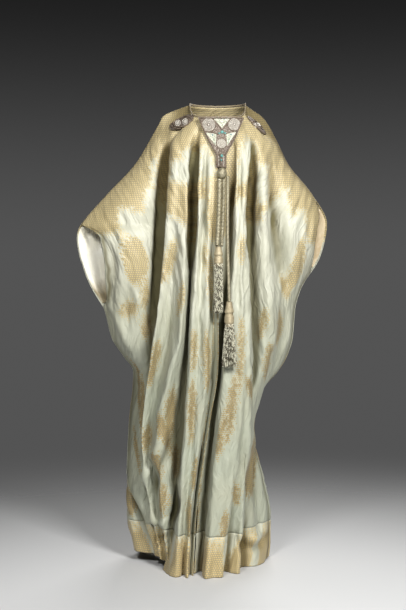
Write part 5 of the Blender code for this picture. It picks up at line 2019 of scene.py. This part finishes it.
@dataclass
class ShoulderOrnament:
    """An oval of beadwork beside the neck: two borders of braid and two pale rosettes."""

    name: str
    length: float
    width: float
    turn: float
    solid: Solid = None

    def spot(self, u: float, v: float) -> Spot:
        """The point and normal of the oval's face at shares of its length and width."""
        low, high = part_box(self.name)
        middle, half = (low + high) / 2, (high - low) / 2
        turn = math.radians(self.turn)
        a, b = u * self.length / 2, v * self.width / 2
        reach_x, reach_z = min(1.0, half.x * 2 / self.length), min(1.0, half.z * 2 / self.width)
        x = middle.x + (a * math.cos(turn) + b * math.sin(turn)) * reach_x
        z = middle.z + (-a * math.sin(turn) + b * math.cos(turn)) * reach_z
        return self.solid.front(x, z)

    def make(self, finishes: dict[str, Material]) -> None:
        """Dress the oval and lay its braid and beads on it."""
        self.solid = Solid(self.name)
        recolour(self.name, finishes["oval"])
        braid = MeshParts()
        thick = Rope(radius=0.0019, plies=2, pitch=0.007, groove=0.3, sides=10, ring_step=0.001)
        for share in (0.86, 0.64):
            ring = circle(0.0, 0.0, share, 48)
            spots = [self.spot(*place) for place in (*ring, ring[0])]
            thick.sweep(braid, raised(spots, BRAID_RISE), closed=True)
        braid.make_closed(self.name + "_braid", finishes["braid"], "beadwork")
        pale = Beads(self.name + "_beads", finishes["pearl"])
        for middle in (-0.30, 0.30):
            for share, count, size in ((0.0, 1, 0.0024), (0.20, 8, 0.0018), (0.40, 14, 0.0017)):
                for u, v in circle(0.0, 0.0, share, count):
                    spot = self.spot(middle + 0.5 * u, v)
                    if spot:
                        pale.lay(*spot, size)
        pale.make()


@dataclass
class Studio:
    """The camera, floor and soft lights."""

    lens: float = 75.0
    eye: Point = (-0.047, -4.0, -0.43)
    tilt: float = math.atan(62 / 1270.8)
    floor_size: float = 12.0
    surround: float = 14.0

    def camera(self) -> None:
        """Place the camera at the photograph's viewpoint."""
        made = bpy.data.objects.new("camera", bpy.data.cameras.new("camera"))
        made.data.lens = self.lens
        made.location = self.eye
        made.rotation_euler = (math.pi / 2 - self.tilt, 0.0, 0.0)
        bpy.context.scene.collection.objects.link(made)
        bpy.context.scene.camera = made

    def floor(self) -> None:
        """Lay the floor under the hem and set the backdrop round everything."""
        bpy.ops.object.select_all(action="DESELECT")
        bpy.ops.mesh.primitive_plane_add(size=self.floor_size)
        made = bpy.context.object
        made.name = "studio_floor"
        for vertex in made.data.vertices:
            vertex.co.z = CAD_BOX[0].z - 0.0005
        made.data.materials.append(StudioFloor().make())
        bpy.ops.mesh.primitive_uv_sphere_add(segments=64, ring_count=32, radius=self.surround)
        dome = bpy.context.object
        dome.name = "studio_backdrop"
        dome.data.flip_normals()
        dome.data.shade_smooth()
        dome.data.materials.append(Backdrop().make())
        dome.select_set(False)

    def light(self, name: str, place: Point, aim: Point, size: float, watts: float) -> None:
        """Hang one square soft light that faces a point."""
        made = bpy.data.objects.new(name, bpy.data.lights.new(name, "AREA"))
        made.data.size = size
        made.data.energy = watts
        made.location = place
        made.rotation_euler = (Vector(aim) - Vector(place)).to_track_quat("-Z", "Y").to_euler()
        bpy.context.scene.collection.objects.link(made)

    def make(self) -> None:
        """Set up the floor and backdrop, the lights and a dark world."""
        self.floor()
        self.light("key", (-0.80, -2.5, 1.0), (-0.03, 0.0, -0.45), 0.6, 48.0)
        self.light("second", (1.15, -2.5, 0.95), (0.0, 0.0, -0.45), 0.7, 116.0)
        self.light("rear", (0.6, 2.8, 1.6), (0.0, 0.0, -0.5), 1.4, 60.0)
        world = bpy.data.worlds.new("studio")
        world.use_nodes = True
        world.node_tree.nodes["Background"].inputs["Color"].default_value = (0.0, 0.0, 0.0, 1.0)
        bpy.context.scene.world = world
        bpy.context.scene.view_settings.view_transform = "Standard"


def bead_finishes() -> dict[str, Material]:
    """The finishes of the neck ornaments."""
    middle, top = Plastron.middle, Plastron.top - NECK_HEIGHT
    pale = tuple(tuple((middle + a, top - b) for a, b in area) for area in PALE_AREAS)
    return {
        "plate": BeadedGround("plastron_beadwork", pale_areas=pale).make(),
        "oval": BeadedGround("shoulder_beadwork", light=(0.46, 0.41, 0.34)).make(),
        "braid": MetalThread(
            "brown_braid", (0.30, 0.23, 0.165), (0.055, 0.036, 0.024), 420.0, slant=1.0, metallic=0.3
        ).make(),
        "coil": MetalThread(
            "silver_coil", (0.84, 0.79, 0.69), (0.20, 0.16, 0.12), 900.0, slant=1.0, metallic=0.2
        ).make(),
        "silver": BeadFinish("dull_silver_bead", (0.86, 0.82, 0.73), (0.46, 0.41, 0.33), 0.3, 0.2).make(),
        "pearl": BeadFinish("pale_bead", (0.78, 0.74, 0.66), (0.50, 0.46, 0.38), 0.25, 0.1).make(),
        "leaf": BeadFinish("green_bead", (0.36, 0.44, 0.33), (0.15, 0.20, 0.14), 0.3).make(),
        "turquoise": BeadFinish("turquoise_stone", (0.16, 0.42, 0.38), (0.06, 0.22, 0.20), 0.3).make(),
    }


def main() -> None:
    """Build the coat's pieces in order."""
    logging.basicConfig(level=logging.INFO, format="%(name)s: %(message)s")
    studio = Studio()
    studio.camera()
    cord_thread = MetalThread("cord_thread", (0.49, 0.445, 0.30), (0.08, 0.064, 0.034), 260.0).make()
    HangingCords().make(cord_thread)
    silk = Brocade("celadon_brocade").make()
    hem_colours = {"gold_low": (0.66, 0.505, 0.225), "gold_low_deep": (0.30, 0.215, 0.085)}
    band = Brocade("hem_brocade", ground_low=(0.56, 0.56, 0.44), **hem_colours).make()
    right = ClothPanel(Panel.FRONT_RIGHT, seed=3)
    left = ClothPanel(Panel.FRONT_LEFT, seed=5)
    back = ClothPanel(Panel.BACK, seed=9)
    for panel in (right, left, back):
        panel.make(silk, band)
    # The ivory facing takes a painted golden reflection near its foot
    ivory = Satin(
        "ivory_satin", (0.97, 0.95, 0.83), (0.88, 0.82, 0.62), foot_from=0.165, foot_to=0.225
    ).make()
    peach = Satin("peach_satin", (0.66, 0.54, 0.34), (0.48, 0.36, 0.20), 0.36).make()
    CuffFacing(Side.RIGHT).make(back, ivory)
    CuffFacing(Side.LEFT).make(back, peach)
    edging = Satin("edging_satin", (0.27, 0.215, 0.13), (0.17, 0.13, 0.075), 0.6).make()
    NeckBinding().make(right, back, left, edging)
    finishes = bead_finishes()
    Plastron().make(finishes)
    ShoulderOrnament("shoulder_ornament_right", 0.092, 0.046, -6.0).make(finishes)
    ShoulderOrnament("shoulder_ornament_left", 0.082, 0.040, -22.0).make(finishes)
    Knot().make(cord_thread)
    head = MetalThread(
        "tassel_head_thread", (0.66, 0.565, 0.37), (0.22, 0.17, 0.09), 520.0, slant=1.0, metallic=0.3
    ).make()
    skirt = MetalThread(
        "tassel_skirt_thread",
        (0.70, 0.675, 0.515),
        (0.09, 0.075, 0.045),
        150.0,
        slant=1.37,
        metallic=0.1,
        strand_tone=1.4,
    ).make()
    Tassel("tassel_right", -0.0010, -0.2050, 0.9890, 0.0145, 0.058, 0.142, 1.05).make(head, skirt)
    Tassel("tassel_left", 0.0312, -0.2170, 0.8250, 0.0145, 0.074, 0.122, 1.75).make(head, skirt)
    studio.make()


if __name__ == "__main__":
    main()
